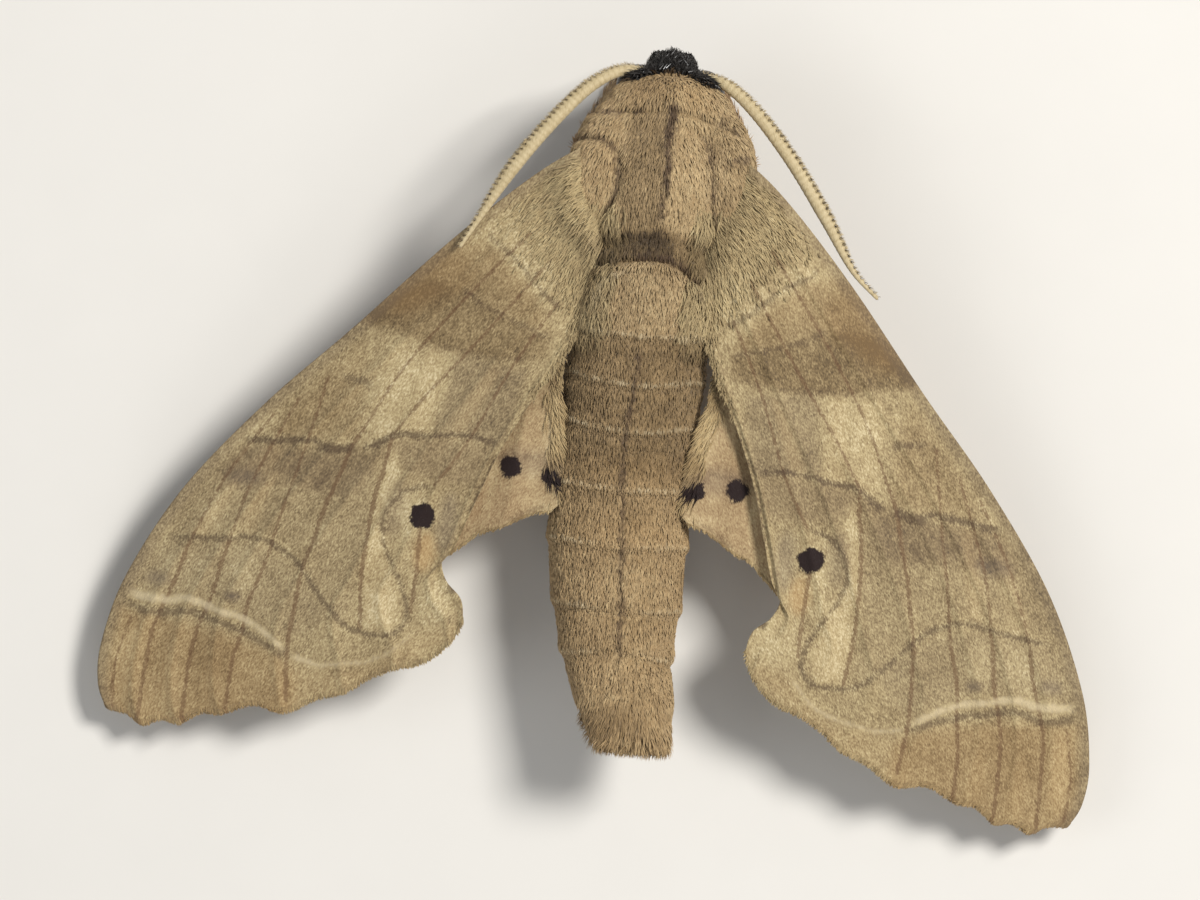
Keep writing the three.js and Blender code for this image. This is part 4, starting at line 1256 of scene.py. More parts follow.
    return Wing(
        side, "forewing",
        ((4.3, -2.6), (8.2, -5.5), (13.5, -11.1), (19.4, -18.3), (24.6, -24.4), (29.4, -31.2), (32.4, -37.8),
         (33.4, -42.7), (33.2, -45.6), (32.3, -47.4)),
        ((32.3, -47.4), (30.9, -47.5), (29.7, -48.1), (28.4, -47.5), (27.1, -47.6), (25.8, -46.6),
         (24.3, -46.4), (22.2, -45.4), (20.0, -45.6), (17.9, -44.3), (16.0, -43.5), (14.4, -42.2),
         (12.8, -41.3), (11.0, -40.6), (9.4, -39.0), (8.7, -37.2)),
        ((3.2, -11.2), (3.9, -15.8), (4.9, -18.4), (6.6, -21.7), (8.1, -25.3), (9.2, -29.0), (10.1, -32.1),
         (10.8, -33.3), (10.3, -34.6), (9.1, -35.7), (8.7, -37.2)),
        ((2, 0.5), (4, 0.0), (6, 0.42), (8, 0.38), (10, 0.0), (12, 0.45), (14, 0.0)),
        patches, strokes,
        (Stroke(pale_band, 0.28, 0.14, 0.46, 0.1), Stroke(pale_end, 0.08, 0.05, 0.4, 0.06)),
        vein_lines, ((12.65, -30.4, 0.88),),
    )


def hindwing(side: Side) -> Wing:
    """The rear wing of one side. Only its inner corner shows, with two spots."""
    patches = (
        Patch(((4.6, -20.0), (8.4, -24.0), (9.6, -30.0), (5.0, -29.6), (3.4, -26.0)), 1.0, 0.0, 0.12),
        Patch(ellipse(5.7, -25.6, 2.4, 0.9), 0.7, -0.3, 0.0, 0.26),
        Patch(ellipse(4.9, -22.6, 0.5, 2.2), 0.5, 0.5),
        Patch(ellipse(5.6, -26.0, 0.5, 1.2), 0.5, 0.5),
        Patch(ellipse(8.4, -26.6, 0.35, 3.2), 0.4, 0.45),
        Patch(ellipse(5.0, -28.4, 1.6, 0.6), 0.5, 0.3),
        Patch(((10.0, -12.0), (25.0, -30.0), (24.0, -36.0), (12.0, -33.0), (10.0, -24.0)), 2.0, -0.15, 0.4),
    )
    strokes = (Stroke(((4.2, -28.4), (5.6, -29.0), (7.3, -30.2)), 0.1, 0.1, 0.3, 0.1),
               Stroke(((5.0, -24.8), (6.0, -25.3), (7.2, -25.2), (8.4, -25.9)), 0.08, 0.08, 0.25, 0.1))
    return Wing(
        side, "hindwing",
        ((3.6, -8.2), (8.5, -9.6), (14.5, -15.0), (20.0, -22.0), (24.3, -28.6), (25.9, -32.2), (25.2, -34.6)),
        ((25.2, -34.6), (22.8, -35.9), (19.6, -36.3), (16.2, -36.0), (13.0, -34.6), (10.2, -32.7),
         (8.7, -31.2), (7.4, -30.6), (5.4, -29.3), (4.0, -28.8)),
        ((3.2, -12.0), (4.6, -16.5), (4.6, -20.2), (4.1, -22.6), (3.5, -25.8), (3.35, -27.8), (4.0, -28.8)),
        ((1, 0.5), (3, 0.0), (5, 0.4), (7, 0.0)),
        patches, strokes, (), (), ((7.15, -26.1, 0.76), (4.3, -26.3, 0.66)),
        top_offset=-0.47, camber=0.0, across=100, along=170, tone=0.0, warm=0.06, vein_rise=0.08,
        root_dip=0.0, inner_hair=0.95, shoulder_rise=0.0,
    )


# The body.


@dataclass
class Trunk:
    """Head, thorax and abdomen under one skin, found on the part's solids, with its pattern and its fur."""

    front: float = 3.3
    rear: float = -44.1
    rows: int = 430
    around: int = 168
    coat_depth: float = 0.34
    ring_lip: float = 0.05
    keel: float = 0.34
    mark_shift: float = 0.28
    end_reach: float = 1.3
    axis: tuple = ((3.6, 0.0, 8.2), (1.0, 0.0, 8.4), (-3.0, 0.0, 8.6), (-10.0, 0.0, 8.7), (-14.5, -0.35, 8.5),
                   (-19.5, -0.65, 7.7), (-25.5, -0.85, 6.75), (-31.5, -0.7, 6.3), (-35.0, -0.4, 6.4),
                   (-38.5, -0.05, 6.9), (-41.3, 0.7, 7.7), (-43.2, 1.3, 8.5), (-44.4, 1.6, 8.9))
    rings: tuple = (-16.3, -19.7, -22.9, -26.9, -30.8, -35.2, -38.3)
    folds: tuple = (  # the thorax's grooves: depth, samples and points of each
        (0.34, 60, ((-4.3, -11.5), (-3.1, -11.3), (-2.1, -11.1), (-0.4, -10.9), (1.1, -11.0), (2.3, -11.6),
                    (3.2, -12.4), (3.7, -13.5))),
        (0.24, 40, ((-6.3, -3.0), (-4.3, -2.9), (-3.1, -4.1), (-3.0, -5.6), (-3.3, -6.9), (-4.7, -9.4))),
        (0.24, 40, ((2.2, -1.9), (3.3, -3.9), (3.5, -5.6), (3.8, -7.2), (4.8, -10.0))),
        (0.2, 40, ((-5.0, -1.1), (-2.6, -0.8), (0.2, -0.5), (2.6, -0.9), (5.1, -1.8))),
    )
    fur_bounds: tuple = (1.95, -3.6, -10.4, -20.0, -29.0, -37.0, -46.0)  # between the pieces of fur
    fur: tuple = ((74.0, 0.16), (66.0, 0.16), (56.0, 0.13), (54.0, 0.13), (56.0, 0.14), (72.0, 0.2))

    def middle(self, y: np.ndarray) -> np.ndarray:
        """X of the body's middle line at y, since the tail bends to one side."""
        knots = np.array(self.axis)
        return np.interp(-y, -knots[:, 0], knots[:, 1])

    def bow(self, x: np.ndarray, ring: float) -> np.ndarray:
        """How far forward a ring's edge lies at x from the middle: it bows, and the last one is peaked."""
        if ring < -38.0:
            return 1.0 * np.exp(-np.abs(x) / 1.6) - 0.2
        return 0.035 * np.minimum(x**2, 16.0) * (1.0 if ring > -24.0 else 0.4)

    def surface(self) -> tuple[np.ndarray, np.ndarray, np.ndarray]:
        """The middle of each row, the ways out from it, and the skin's points by row and place round it."""
        corners, faces, base = [], [], 0
        for name in ("head", "thorax", "abdomen"):
            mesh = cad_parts[name].data
            points = np.empty(len(mesh.vertices) * 3, np.float32)
            mesh.vertices.foreach_get("co", points)
            corners.append(PLACE.to_drawing(points.reshape(-1, 3).astype(float)))
            faces.extend([tuple(base + corner for corner in face.vertices) for face in mesh.polygons])
            base += len(mesh.vertices)
        solid = BVHTree.FromPolygons([Vector(point) for point in np.concatenate(corners)], faces)
        end_rows = 26
        share = np.linspace(0.0, 1.0, end_rows, endpoint=False) ** 2 * self.end_reach
        middle = np.linspace(self.front - self.end_reach, self.rear + self.end_reach,
                             self.rows - 2 * end_rows)
        y = np.concatenate([self.front - share, middle, (self.rear + share)[::-1]])
        knots = np.array(self.axis)[::-1]
        centre = np.stack([np.interp(y, knots[:, 0], knots[:, 1]), y, np.interp(y, knots[:, 0], knots[:, 2])],
                          axis=1)
        turn = np.linspace(0.0, 2.0 * math.pi, self.around, endpoint=False)
        ways = np.stack([np.cos(turn), np.zeros(self.around), np.sin(turn)], axis=1)
        reach = np.zeros((len(y), self.around))
        far = 14.0  # from outside every solid, in towards the middle line
        for row, place in enumerate(centre):
            for column, way in enumerate(ways):
                hit = solid.ray_cast(Vector(place + way * far), Vector(-way), far)
                reach[row, column] = far - hit[3] if hit[0] is not None else 0.05
        reach = self.smooth(reach, y)
        return centre, ways, self.shape(reach, centre, ways, y)

    def smooth(self, reach: np.ndarray, y: np.ndarray) -> np.ndarray:
        """Closes the narrow gaps between the solids and softens their edges."""
        even = np.arange(y.min(), y.max(), 0.1)[::-1]
        flat = np.stack([np.interp(-even, -y, reach[:, column]) for column in range(self.around)], axis=1)
        closed = flat.copy()
        for step in range(-4, 5):
            closed = np.maximum(closed, np.roll(flat, step, axis=0))
        opened = closed.copy()
        for step in range(-4, 5):
            opened = np.minimum(opened, np.roll(closed, step, axis=0))
        opened[:6], opened[-6:] = flat[:6], flat[-6:]
        offsets = np.arange(-9, 10)
        bell = np.exp(-((offsets * 0.1 / 0.42) ** 2))
        padded = np.pad(opened, ((9, 9), (0, 0)), mode="edge")
        soft = sum(weight * padded[9 + step: 9 + step + len(opened)]
                   for step, weight in zip(offsets, bell)) / bell.sum()
        soft = sum(weight * np.roll(soft, step, axis=1)
                   for step, weight in zip((-2, -1, 0, 1, 2), (1, 3, 4, 3, 1))) / 12
        near_end = ramp(0.0, 1.0, np.minimum(even.max() - even, even - even.min()))[:, None]
        soft = opened + (soft - opened) * near_end
        return np.stack([np.interp(-y, -even, soft[:, column]) for column in range(self.around)], axis=1)

    def shape(self, reach: np.ndarray, centre: np.ndarray, ways: np.ndarray, y: np.ndarray) -> np.ndarray:
        """Insets the skin by the coat and adds the rings' lips and the grooves of the thorax."""
        from_end = np.minimum(self.front - y, y - self.rear)
        inset = self.coat_depth * ramp(0.0, 2.4, from_end)
        reach = np.maximum(reach - inset[:, None], 0.02)
        x = centre[:, :1] + reach * ways[:, 0]
        upper = ramp(-0.5, 0.4, ways[:, 2])[None, :]
        for ring in self.rings:
            edge = ring + self.bow(x - centre[:, :1], ring)
            gap = y[:, None] - edge
            lip = (ramp(1.6, 0.05, gap) - ramp(0.12, -0.12, gap)) * np.where(gap > -0.2, 1.0, 0.0)
            reach += self.ring_lip * lip
            reach -= self.ring_lip * hump(gap, -0.25, 0.3)
        thorax = ramp(-9.2, -7.0, y) * ramp(1.6, -0.4, y)
        reach += self.keel * thorax[:, None] * np.exp(-np.abs(x - 0.25) / 1.1) * upper
        near_wing = (ramp(-17.0, -14.5, y) * ramp(-7.0, -9.0, y))[:, None] * ramp(1.8, 3.2, np.abs(x))
        reach += 0.3 * near_wing * upper
        blunt = np.sqrt(np.clip((self.front + 0.02 - y) / 1.3, 0.0, 1.0))
        round_off = np.sqrt(1.0 - ramp(0.9, 4.6, y)) * blunt
        reach *= np.where(y > 1.3, np.minimum(1.0, round_off + 0.1 * ramp(1.9, 1.3, y)), 1.0)[:, None]
        plan = np.stack([x.ravel(), np.broadcast_to(y[:, None], x.shape).ravel()], axis=1)
        for depth, count, line in self.folds:
            gap, _ = distance_to_line(plan, spline(line, count))
            reach -= depth * np.exp(-((gap.reshape(x.shape) / 0.32) ** 2)) * upper
        return centre[:, None, :] + ways[None, :, :] * np.maximum(reach, 0.02)[..., None]

    def marks(self, points: np.ndarray) -> Marks:
        """The pattern of the body's back, sides and underside."""
        top = ramp(7.0, 9.0, points[:, 2] + 0.05 * np.maximum(-10.0 - points[:, 1], 0.0))
        marks = Marks.plain(len(points), 0.0, 0.0)
        y = points[:, 1]
        thorax = ramp(-10.2, -9.0, y)
        marks.tone += 0.1 * thorax * top - 0.2 * (1 - top)
        marks.add_patches(points, [
            # The thorax: painted light on its right half and painted shade on its left, the head's top, and
            # the dark band behind.
            Patch(((0.5, 1.6), (2.4, 1.6), (2.8, -3.0), (2.9, -8.6), (0.5, -8.6)), 0.5, 0.16, 0.04),
            Patch(((-2.4, 1.6), (0.0, 1.6), (0.0, -8.6), (-2.6, -8.6), (-2.5, -3.5)), 0.5, -0.3),
            Patch(((-5.6, -3.2), (-3.4, -3.6), (-3.4, -8.0), (-5.2, -9.0)), 0.6, 0.04, 0.04),
            Patch(((-2.4, 2.6), (2.4, 2.6), (3.0, -0.4), (0.0, 0.2), (-3.0, -0.4)), 0.7, -0.1, 0.08),
            Patch(((-4.9, -9.4), (-3.6, -8.8), (-1.0, -9.0), (0.3, -8.6), (1.8, -9.1), (4.3, -9.3),
                   (3.2, -11.9), (1.1, -10.9), (-0.4, -10.8), (-2.1, -11.2), (-4.3, -11.6)), 0.3, -0.72),
            Patch(ellipse(-0.1, -9.7, 0.8, 0.8), 0.7, -0.4),
            Patch(((1.0, -9.4), (3.7, -9.5), (4.0, -12.0), (2.6, -11.4), (1.2, -10.7)), 0.4, 0.26),
            Patch(((-3.7, -10.0), (-3.6, -11.6), (-4.0, -12.8), (-4.9, -14.3), (-6.0, -14.2), (-5.0, -12.0),
                   (-4.6, -10.2)), 0.4, -0.7),
            # The abdomen: a pale dome in front, then a dark stretch that warms towards the tail.
            Patch(((-3.6, -12.2), (-0.4, -11.8), (2.6, -12.6), (3.2, -15.6), (-4.2, -15.8)), 0.7, 0.14),
            Patch(((3.4, -10.0), (5.4, -10.0), (5.6, -17.0), (3.6, -15.6)), 0.4, 0.2),
            Patch(((-5.4, -16.6), (4.6, -16.6), (4.4, -25.0), (-6.4, -25.0)), 1.2, -0.44, 0.04),
            Patch(((-6.6, -25.0), (4.8, -25.0), (4.6, -30.0), (-6.6, -30.0)), 2.0, -0.1, 0.08),
            Patch(((-6.2, -30.0), (4.4, -30.0), (4.4, -45.0), (-5.0, -45.0)), 1.6, 0.05, 0.08),
            Patch(ellipse(0.2, -42.6, 1.8, 0.9), 0.8, -0.5),
        ], top)
        marks.warm += 0.12 * (1 - top)
        marks.add_lines(Line.INK, points, [
            Stroke(((0.3, 0.1), (0.3, -0.9), (0.2, -2.5), (0.3, -4.1), (0.3, -5.9), (0.1, -8.2)), 0.30, 0.07,
                   0.86, 0.03),
            # The collar, tegula and rear lines follow the thorax's grooves: partly the moth's own dark
            # edging, partly painted shade in the grooves.
            Stroke(((-5.0, -1.1), (-3.9, -1.0), (-2.6, -0.8), (-1.3, -0.7)), 0.09, 0.09, 0.72, 0.1),
            Stroke(((1.9, -0.6), (2.6, -0.9), (3.6, -1.1), (4.4, -1.5), (5.1, -1.8)), 0.09, 0.09, 0.72, 0.1),
            Stroke(((-6.3, -3.0), (-5.3, -2.8), (-4.3, -2.9), (-3.6, -3.4), (-3.1, -4.1), (-3.0, -5.6),
                    (-3.3, -6.9), (-4.0, -8.2), (-4.7, -9.4)), 0.14, 0.12, 0.72, 0.08),
            Stroke(((2.2, -1.9), (2.9, -2.6), (3.3, -3.9), (3.5, -5.6), (3.8, -7.2), (4.3, -8.8),
                    (4.8, -10.0)), 0.13,
                   0.12, 0.76, 0.08),
            Stroke(((4.0, -3.7), (4.8, -3.5), (5.9, -3.3)), 0.12, 0.12, 0.76, 0.15),
            Stroke(((-1.6, -10.8), (-0.4, -10.7), (1.1, -10.8), (2.3, -11.5), (3.2, -12.3), (3.7, -13.5)),
                   0.17, 0.14, 0.8, 0.08),
            Stroke(((-0.4, -16.8), (-0.6, -20.0), (-0.9, -23.5), (-0.8, -26.1), (-0.6, -28.2), (-0.5, -29.8),
                    (-0.4, -32.1), (-0.1, -34.6), (-0.1, -36.5), (0.1, -38.0), (0.2, -38.8)), 0.12, 0.11, 0.7,
                    0.04),
        ], top)
        for x, spot_y in ((-0.4, -30.8), (-0.1, -34.6), (0.0, -37.2), (-0.8, -26.6)):
            dot = Stroke(((x, spot_y - 0.3), (x, spot_y), (x, spot_y + 0.3)), 0.22, 0.22, 0.6)
            marks.add_lines(Line.INK, points, [dot], top)
        width = np.linspace(-5.6, 5.6, 15)
        for index, ring in enumerate(self.rings):
            middle = self.middle(ring)
            line = tuple(zip(middle + width, ring + self.bow(width, ring) + 0.12))
            away = ramp(0.8, 2.2, np.abs(points[:, 0] - middle)) if index > 3 else 1.0
            edge = Stroke(line, 0.04, 0.04, 0.5, 0.05)
            marks.add_lines(Line.PALE, points, [edge], (0.35 + 0.65 * top) * away)
        seam = Stroke(((-3.8, -14.2), (-3.3, -12.6), (-1.4, -11.6)), 0.06, 0.06, 0.3, 0.15)
        marks.add_lines(Line.PALE, points, [seam], top)
        return marks

    def skin(self) -> Sheet:
        """The skin from head to tail, with its marks, the lie of its coat and the regions of its pieces."""
        centre, ways, points = self.surface()
        normals = grid_normals(points)
        if (normals[200] * (points[200] - centre[200])).sum() < 0:
            normals = -normals
        sheet = tube_sheet(points, centre[0] + np.array([0, 0.02, 0]), centre[-1] - np.array([0, 0.02, 0]))
        flat = sheet.points
        y, z = flat[:, 1], flat[:, 2]
        side = flat[:, 0] - self.middle(y)
        fan = side * (0.10 * ramp(-11.0, -2.0, y) + 0.14 * ramp(-38.0, -43.0, y))
        backward = np.stack([fan, np.full(len(y), -1.0), np.zeros(len(y))], axis=1)
        forward = np.stack([side * 0.16, np.full(len(y), 1.0), np.full(len(y), -0.1)], axis=1)
        head = ramp(1.5, 2.1, y)[:, None]
        all_normals = np.concatenate([normals.reshape(-1, 3), [[0, 1, 0]], [[0, -1, 0]]])
        lie = lay_along(all_normals, backward * (1 - head) + forward * head)
        values = {"lie": lie, **self.marks(flat + lie * self.mark_shift).attributes()}
        length = 0.62 + 0.12 * ramp(-11.5, -8.0, y) + 0.7 * ramp(-40.0, -43.5, y) - 0.2 * ramp(0.0, 2.0, y)
        near_ring = np.zeros(len(y))
        for ring in self.rings:
            near_ring = np.maximum(near_ring, hump(y - ring - self.bow(side, ring), 0.2, 0.25))
        values["coat_length"] = np.maximum(length * (1.0 - 0.45 * near_ring), 0.35)
        upper = 0.45 + 0.55 * ramp(5.0, 8.0, z + 0.08 * np.maximum(-10.0 - y, 0.0))
        end = ramp(0.35, 0.75, -all_normals[:, 1]) * (y < -42.0)
        for index, (high, low) in enumerate(zip(self.fur_bounds[:-1], self.fur_bounds[1:])):
            values[f"coat_{index}"] = ((y <= high) & (y > low)) * upper * (1.0 - end)
        brow = y + 0.1 * np.minimum(side**2, 6.0)
        values["tail"] = end
        values["black"] = ramp(1.92, 2.08, brow) * ramp(6.6, 7.4, z) * (y > 1.2)
        values["face"] = ramp(1.9, 2.2, y) * ramp(8.0, 7.2, z)
        values["shoulder"] = (ramp(-17.2, -15.8, y) * ramp(-6.6, -8.0, y) * ramp(2.2, 2.9, np.abs(side))
                              * ramp(9.0, 9.8, z))
        dark = (brow > 1.92) & (y > 1.2) & (z > 6.6)
        values["spot_gap"] = np.where(dark, -1.0, values["spot_gap"])
        sheet.values.update(values)
        return sheet

    def build(self, coat: Coat) -> None:
        """Builds the skin and grows the fur in pieces from head to tail."""
        skin = self.skin().to_object("body_skin")
        settle(skin, Finish.SKIN, ("head", "thorax", "abdomen"))
        fine = Tuft(0.9, 0.13, 0.045, 0.09)
        for index, (amount, lift) in enumerate(self.fur):
            coat.grow(skin, f"body_fur_{index + 1}", "body", fine, Finish.FUR, Region=f"coat_{index}",
                      per_mm2=amount, Lift=lift, Lift_spread=0.1, Sway=0.26, Seed=20 + index)
        coat.grow(skin, "head_tuft", "dark_hair", Tuft(1.0, 0.11, 0.07, 0.24), Finish.BLACK_HAIR,
                  Region="black", per_mm2=210.0, Lift=0.42, Lift_spread=0.4, Sway=1.0, Seed=31, Shortest=0.8,
                  Longest=1.9)
        coat.grow(skin, "shoulder_hair", "body", Tuft(1.7, 0.13, 0.05, 0.2), Finish.WING_HAIR,
                  Region="shoulder", per_mm2=70.0, Lift=0.2, Lift_spread=0.12, Sway=0.5, Seed=33)
        coat.grow(skin, "tail_tuft", "body", Tuft(0.75, 0.11, 0.05, 0.08), Finish.FUR, Region="tail",
                  per_mm2=60.0, Lift=1.15, Lift_spread=0.3, Sway=0.5, Seed=34, Shortest=0.7, Longest=1.2)
        coat.grow(skin, "face_fur", "body", Tuft(0.9, 0.1, 0.04, 0.08), Finish.FUR, Region="face",
                  per_mm2=80.0, Lift=0.16, Lift_spread=0.1, Sway=0.3, Seed=32)


@dataclass
class Eye:
    """One round compound eye."""

    side: Side
    radius: float = 1.45
    stretch: float = 1.08
    out: float = 2.3

    def build(self) -> None:
        """Builds the eye."""
        rows, around = 48, 72
        turn = np.linspace(0.0, math.pi, rows + 2)[1:-1]
        ring = np.linspace(0.0, 2.0 * math.pi, around, endpoint=False)
        middle = np.array([self.side.value * self.out, EYE_FORWARD, EYE_HEIGHT])
        grid = np.stack([
            np.broadcast_to(-np.cos(turn)[:, None], (rows, around)),
            np.sin(turn)[:, None] * np.cos(ring)[None, :],
            np.sin(turn)[:, None] * np.sin(ring)[None, :]], axis=-1)
        size = np.array([self.radius, self.radius, self.radius * self.stretch])
        low, high = middle - [self.radius, 0, 0], middle + [self.radius, 0, 0]
        sheet = tube_sheet(middle + grid * size, low, high)
        eye = sheet.to_object(f"eye_{self.side.word}_facets")
        settle(eye, Finish.EYE, (f"eye_{self.side.word}",))


def dress_limb(sheet: Sheet, line: np.ndarray, tone: float, length: float = 1.0) -> Sheet:
    """Gives a limb its marks and the directions of its coat.

    Args:
        sheet: The limb's tube.
        line: Its middle line, one point for each ring.
        tone: How pale it is.
        length: How long its coat is.

    Returns:
        The same sheet.
    """
    count = len(sheet.points)
    around = (count - 2) // len(line)
    ways = unit(np.gradient(line, axis=0))
    lie = np.concatenate([np.repeat(ways, around, axis=0), ways[:1], ways[-1:]])
    sheet.values.update(Marks.plain(count, tone).attributes())
    sheet.values.update({"lie": lie, "coat_length": np.full(count, length), "coat": np.ones(count)})
    return sheet


@dataclass
class Feeler:
    """One feeler: a ringed shaft that thins to a small hook, with fine bristles along its outer side."""

    side: Side
    line: tuple
    half: float = 0.45
    rings: int = 46
    tip: float = 0.1
    around: int = 22

    def build(self, coat: Coat) -> None:
        """Builds the shaft and its bristles."""
        count = self.rings * 7
        line = spline(self.line, count)
        share = np.linspace(0.0, 1.0, count)
        half = self.half * (0.8 + 0.2 * ramp(0.0, 0.4, share)) * (1.0 - 0.72 * ramp(0.62, 1.0, share))
        wave = (share * self.rings) % 1.0
        half = half * (1.0 - 0.07 * (1.0 - np.sin(math.pi * wave) ** 0.6))
        half[:12] *= 1.25
        sizes = np.stack([half, half * 0.92], axis=1)
        rings = limb_rings(line, sizes, self.around)
        outward = np.array([self.side.value * 0.8, 0.45, -0.35])
        facing = ramp(0.3, 0.8, unit(rings - line[:, None, :]) @ outward)
        gap = (1.0 - np.sin(math.pi * wave) ** 0.7)[:, None]
        comb = (1.0 + facing * (0.18 - 0.36 * gap))[..., None]
        rings = line[:, None, :] + (rings - line[:, None, :]) * comb
        sheet = tube_sheet(rings, line[0], line[-1] + (line[-1] - line[-2]) * 2)
        dress_limb(sheet, line, 0.2)
        # Painted shade in the gaps between the rings, deepest between the teeth on the outer side.
        reach = ramp(0.12, 0.4, share)[:, None]
        sheet.values["tone"][:-2] -= (gap * (0.22 + 1.5 * facing * reach)).ravel()
        outer = np.concatenate([facing.ravel(), [0.0, 0.0]])
        past_base = np.repeat(ramp(0.0, 0.08, share), self.around)
        sheet.values["coat"] = outer * np.concatenate([past_base, [0, 0]])
        shaft = sheet.to_object(f"feeler_{self.side.word}_shaft")
        settle(shaft, Finish.ANTENNA, (f"antenna_{self.side.word}",))
        coat.grow(shaft, f"feeler_{self.side.word}_bristles", "antenna", Tuft(0.26, 0.04, 0.025, 0.02),
                  Finish.ANTENNA, per_mm2=150.0, Lift=1.05, Lift_spread=0.25, Sway=0.3, Seed=41)


@dataclass
class Leg:
    """One leg from hip to claws, with a furred thigh and shin and a jointed foot."""

    side: Side
    kind: str
    stops: tuple
    halves: tuple
    spurs: bool = False
    around: int = 18

    def build(self, coat: Coat) -> None:
        """Builds the leg and its coat."""
        mirror = np.array([self.side.value, 1.0, 1.0])
        stops = np.array(self.stops) * mirror
        sheets = []
        for index in range(2):
            start, end = stops[index], stops[index + 1]
            share = np.linspace(0.0, 1.0, 40)
            line = start + (end - start) * share[:, None]
            line[:, 2] += 0.18 * np.sin(math.pi * share)
            low, high = self.halves[index], self.halves[index + 1]
            half = (low + (high - low) * share) * (0.72 + 0.34 * np.sin(math.pi * np.clip(share * 1.1, 0, 1)))
            sheets.append(self.tube(line, half, -0.1))
        start, end = stops[2], stops[3]
        way = unit(end - start)
        share = np.linspace(0.0, 1.0, 110)
        line = start + (end - start) * share[:, None]
        wave = (share * 5.0) % 1.0
        half = (self.halves[2] * (1 - share) + self.halves[3] * share) * (0.78 + 0.2 * ramp(0.0, 0.85, wave)
                                                                         - 0.2 * ramp(0.88, 1.0, wave))
        line[:, 2] = np.maximum(line[:, 2], half * 0.96)
        sheets.append(self.tube(line, half, 0.05))
        side_way = np.cross(way, [0.0, 0.0, 1.0])
        for turn in (-1, 1):
            root = line[-1] + side_way * 0.14 * turn
            claw = spline([root, root + way * 0.28 + side_way * 0.16 * turn + [0, 0, 0.06],
                           root + way * 0.5 + side_way * 0.2 * turn - [0, 0, 0.16]], 14)
            claw[:, 2] = np.maximum(claw[:, 2], 0.05)
            sheets.append(self.tube(claw, np.linspace(0.1, 0.03, 14), -0.8))
            if self.spurs:
                joint = stops[2]
                spur = spline([joint, joint + way * 0.9 + side_way * 0.45 * turn + [0, 0, -0.1],
                               joint + way * 1.7 + side_way * 0.75 * turn + [0, 0, -0.3]], 16)
                spur[:, 2] = np.maximum(spur[:, 2], 0.16)
                sheets.append(self.tube(spur, np.linspace(0.2, 0.06, 16), 0.2))
        name = f"leg_{self.kind}_{self.side.word}"
        leg = join_sheets(sheets).to_object(f"{name}_jointed")
        settle(leg, Finish.LEG, (name,))
        coat.grow(leg, f"{name}_fur", "leg", Tuft(0.6, 0.1, 0.035, 0.05), Finish.LEG, per_mm2=34.0, Lift=0.16,
                  Lift_spread=0.1, Seed=51)

    def tube(self, line: np.ndarray, half: np.ndarray, tone: float) -> Sheet:
        """One dressed tube with rounded ends."""
        steps = np.arange(len(half))
        ends = np.sqrt(np.clip(np.minimum(steps + 1.0, len(half) - steps) / 4.0, 0, 1))
        half = half * ends
        rings = limb_rings(line, half, self.around)
        rings[..., 2] = np.maximum(rings[..., 2], 0.0)
        sheet = tube_sheet(rings, line[0], line[-1])
        thigh = float(half.max() > 0.5)
        return dress_limb(sheet, line, tone, 0.8 + 0.6 * thigh)


@dataclass
class Palp:
    """One upturned furred palp in front of the face."""

    side: Side
    stops: tuple = ((1.0, 1.6, 5.0), (1.0, 2.7, 5.3), (0.9, 3.1, 6.3), (0.75, 3.0, 7.1))

    def build(self, coat: Coat) -> None:
        """Builds the palp and its fur."""
        line = spline([(x * self.side.value, y, z) for x, y, z in self.stops], 48)
        share = np.linspace(0.0, 1.0, 48)
        ends = np.sqrt(np.clip(np.minimum(share * 12 + 0.1, (1 - share) * 9 + 0.05), 0, 1))
        half = (0.6 - 0.2 * share) * ends
        sheet = dress_limb(tube_sheet(limb_rings(line, half, 20), line[0], line[-1]), line, -0.2)
        palp = sheet.to_object(f"palp_{self.side.word}_core")
        settle(palp, Finish.BLACK_HAIR, (f"palp_{self.side.word}",))
        coat.grow(palp, f"palp_{self.side.word}_fur", "dark_hair", Tuft(0.7, 0.1, 0.05, 0.1),
                  Finish.BLACK_HAIR, per_mm2=120.0, Lift=0.2, Lift_spread=0.16, Sway=0.4, Seed=61,
                  Shortest=0.7, Longest=1.2)


# The studio.


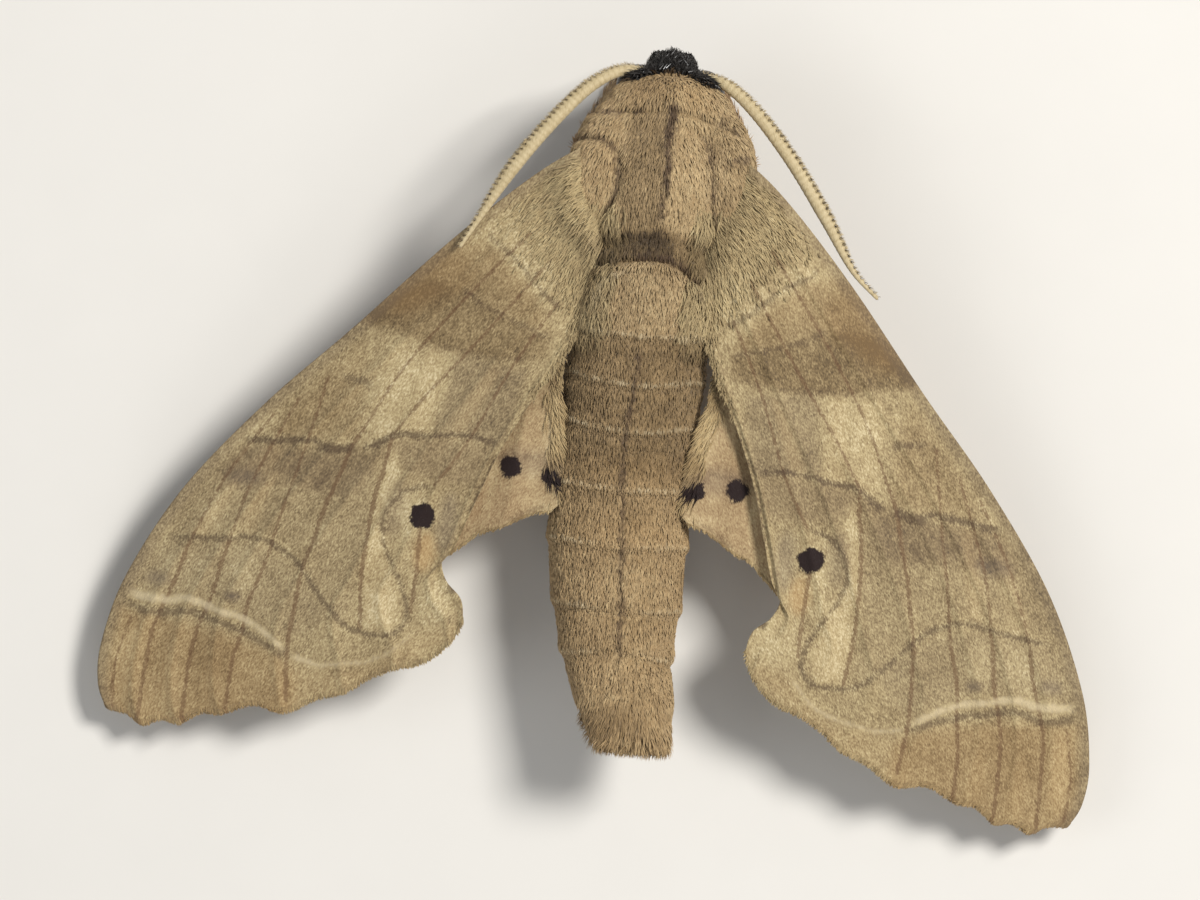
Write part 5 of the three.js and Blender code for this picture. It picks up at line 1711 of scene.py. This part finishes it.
@dataclass
class Studio:
    """A pale floor, soft light from the upper right of the view, and a camera that looks straight down."""

    middle: tuple = (-1.245, -2.02)
    frame_width: float = 84.0
    turn: float = 5.3
    height: float = 600.0
    sensor: float = 36.0

    def build(self) -> None:
        """Builds floor, lights and camera."""
        floor_mesh = bpy.data.meshes.new("floor")
        half = 0.8
        floor_mesh.from_pydata([(-half, -half, 0), (half, -half, 0), (half, half, 0), (-half, half, 0)], [],
                               [(0, 1, 2, 3)])
        floor = add_object("floor", floor_mesh)
        floor_mesh.materials.append(Finish.FLOOR.material())
        target = Vector((self.middle[0], self.middle[1], 6.0)) * 0.001
        self.light("key", target, (0.27, 0.19, 0.45), 0.15, 3.45, (1.0, 0.98, 0.95))
        self.light("fill", target, (-0.42, -0.06, 0.34), 0.34, 0.66, (0.95, 0.97, 1.0))
        self.light("back", target, (0.05, -0.45, 0.30), 0.30, 0.6, (1.0, 0.98, 0.95))
        world = bpy.data.worlds.new("studio")
        bpy.context.scene.world = world
        world.use_nodes = True
        backdrop = world.node_tree.nodes["Background"]
        backdrop.inputs[0].default_value = (0.86, 0.89, 0.93, 1.0)
        backdrop.inputs[1].default_value = 0.26
        bpy.context.scene.view_settings.view_transform = "Standard"
        data = bpy.data.cameras.new("camera")
        data.sensor_width = self.sensor
        data.lens = self.sensor * self.height / self.frame_width
        data.clip_start, data.clip_end = 0.05, 5.0
        camera = add_object("camera", data)
        camera.location = (target.x, target.y, self.height * 0.001)
        camera.rotation_euler = (0.0, 0.0, math.radians(self.turn))
        bpy.context.scene.camera = camera

    def light(self, name: str, target: Vector, offset: tuple, size: float, power: float,
              colour: tuple) -> None:
        """Adds one square soft light that faces the target."""
        data = bpy.data.lights.new(name, "AREA")
        data.size, data.energy, data.color = size, power, colour
        lamp = add_object(name, data)
        lamp.location = target + Vector(offset)
        lamp.rotation_euler = (-Vector(offset)).to_track_quat("-Z", "Y").to_euler()


FEELER_LEFT = ((-1.5, 2.0, 8.9), (-3.4, 2.0, 9.9), (-5.6, 0.6, 10.6), (-8.0, -2.2, 11.0), (-10.3, -5.5, 11.1),
               (-12.2, -8.9, 11.0), (-13.4, -11.1, 10.9))
FEELER_RIGHT = ((1.5, 2.0, 8.9), (3.6, 1.7, 9.8), (5.9, 0.0, 10.2), (8.7, -3.1, 10.3), (11.4, -6.8, 10.1),
                (13.6, -10.2, 9.8), (15.5, -12.0, 9.6))
LEGS = (  # kind; hip, knee, ankle and toe; half thickness at each; whether it has spurs
    ("fore", ((2.2, -1.8, 4.8), (5.6, -3.5, 3.9), (5.4, -2.0, 1.1), (3.7, 1.4, 0.3)),
     (1.0, 0.75, 0.55, 0.42), False),
    ("mid", ((3.0, -5.4, 4.6), (7.6, -7.2, 4.8), (9.2, -10.0, 1.2), (10.2, -14.8, 0.3)),
     (1.1, 0.8, 0.58, 0.42), True),
    ("hind", ((2.6, -8.2, 4.6), (6.6, -12.4, 4.6), (7.4, -19.4, 1.2), (7.6, -28.0, 0.3)),
     (1.1, 0.85, 0.6, 0.42), True),
)


def main() -> None:
    """Builds the moth and the studio."""
    logging.basicConfig(level=logging.INFO, format="%(name)s %(message)s")
    Studio().build()
    coat = Coat()
    Trunk().build(coat)
    for side in Side:
        forewing(side).build(coat)
        hindwing(side).build(coat)
        Eye(side).build()
        Palp(side).build(coat)
        Feeler(side, FEELER_LEFT if side is Side.LEFT else FEELER_RIGHT).build(coat)
        for kind, stops, halves, spurs in LEGS:
            Leg(side, kind, stops, halves, spurs).build(coat)


if __name__ == "__main__":
    main()
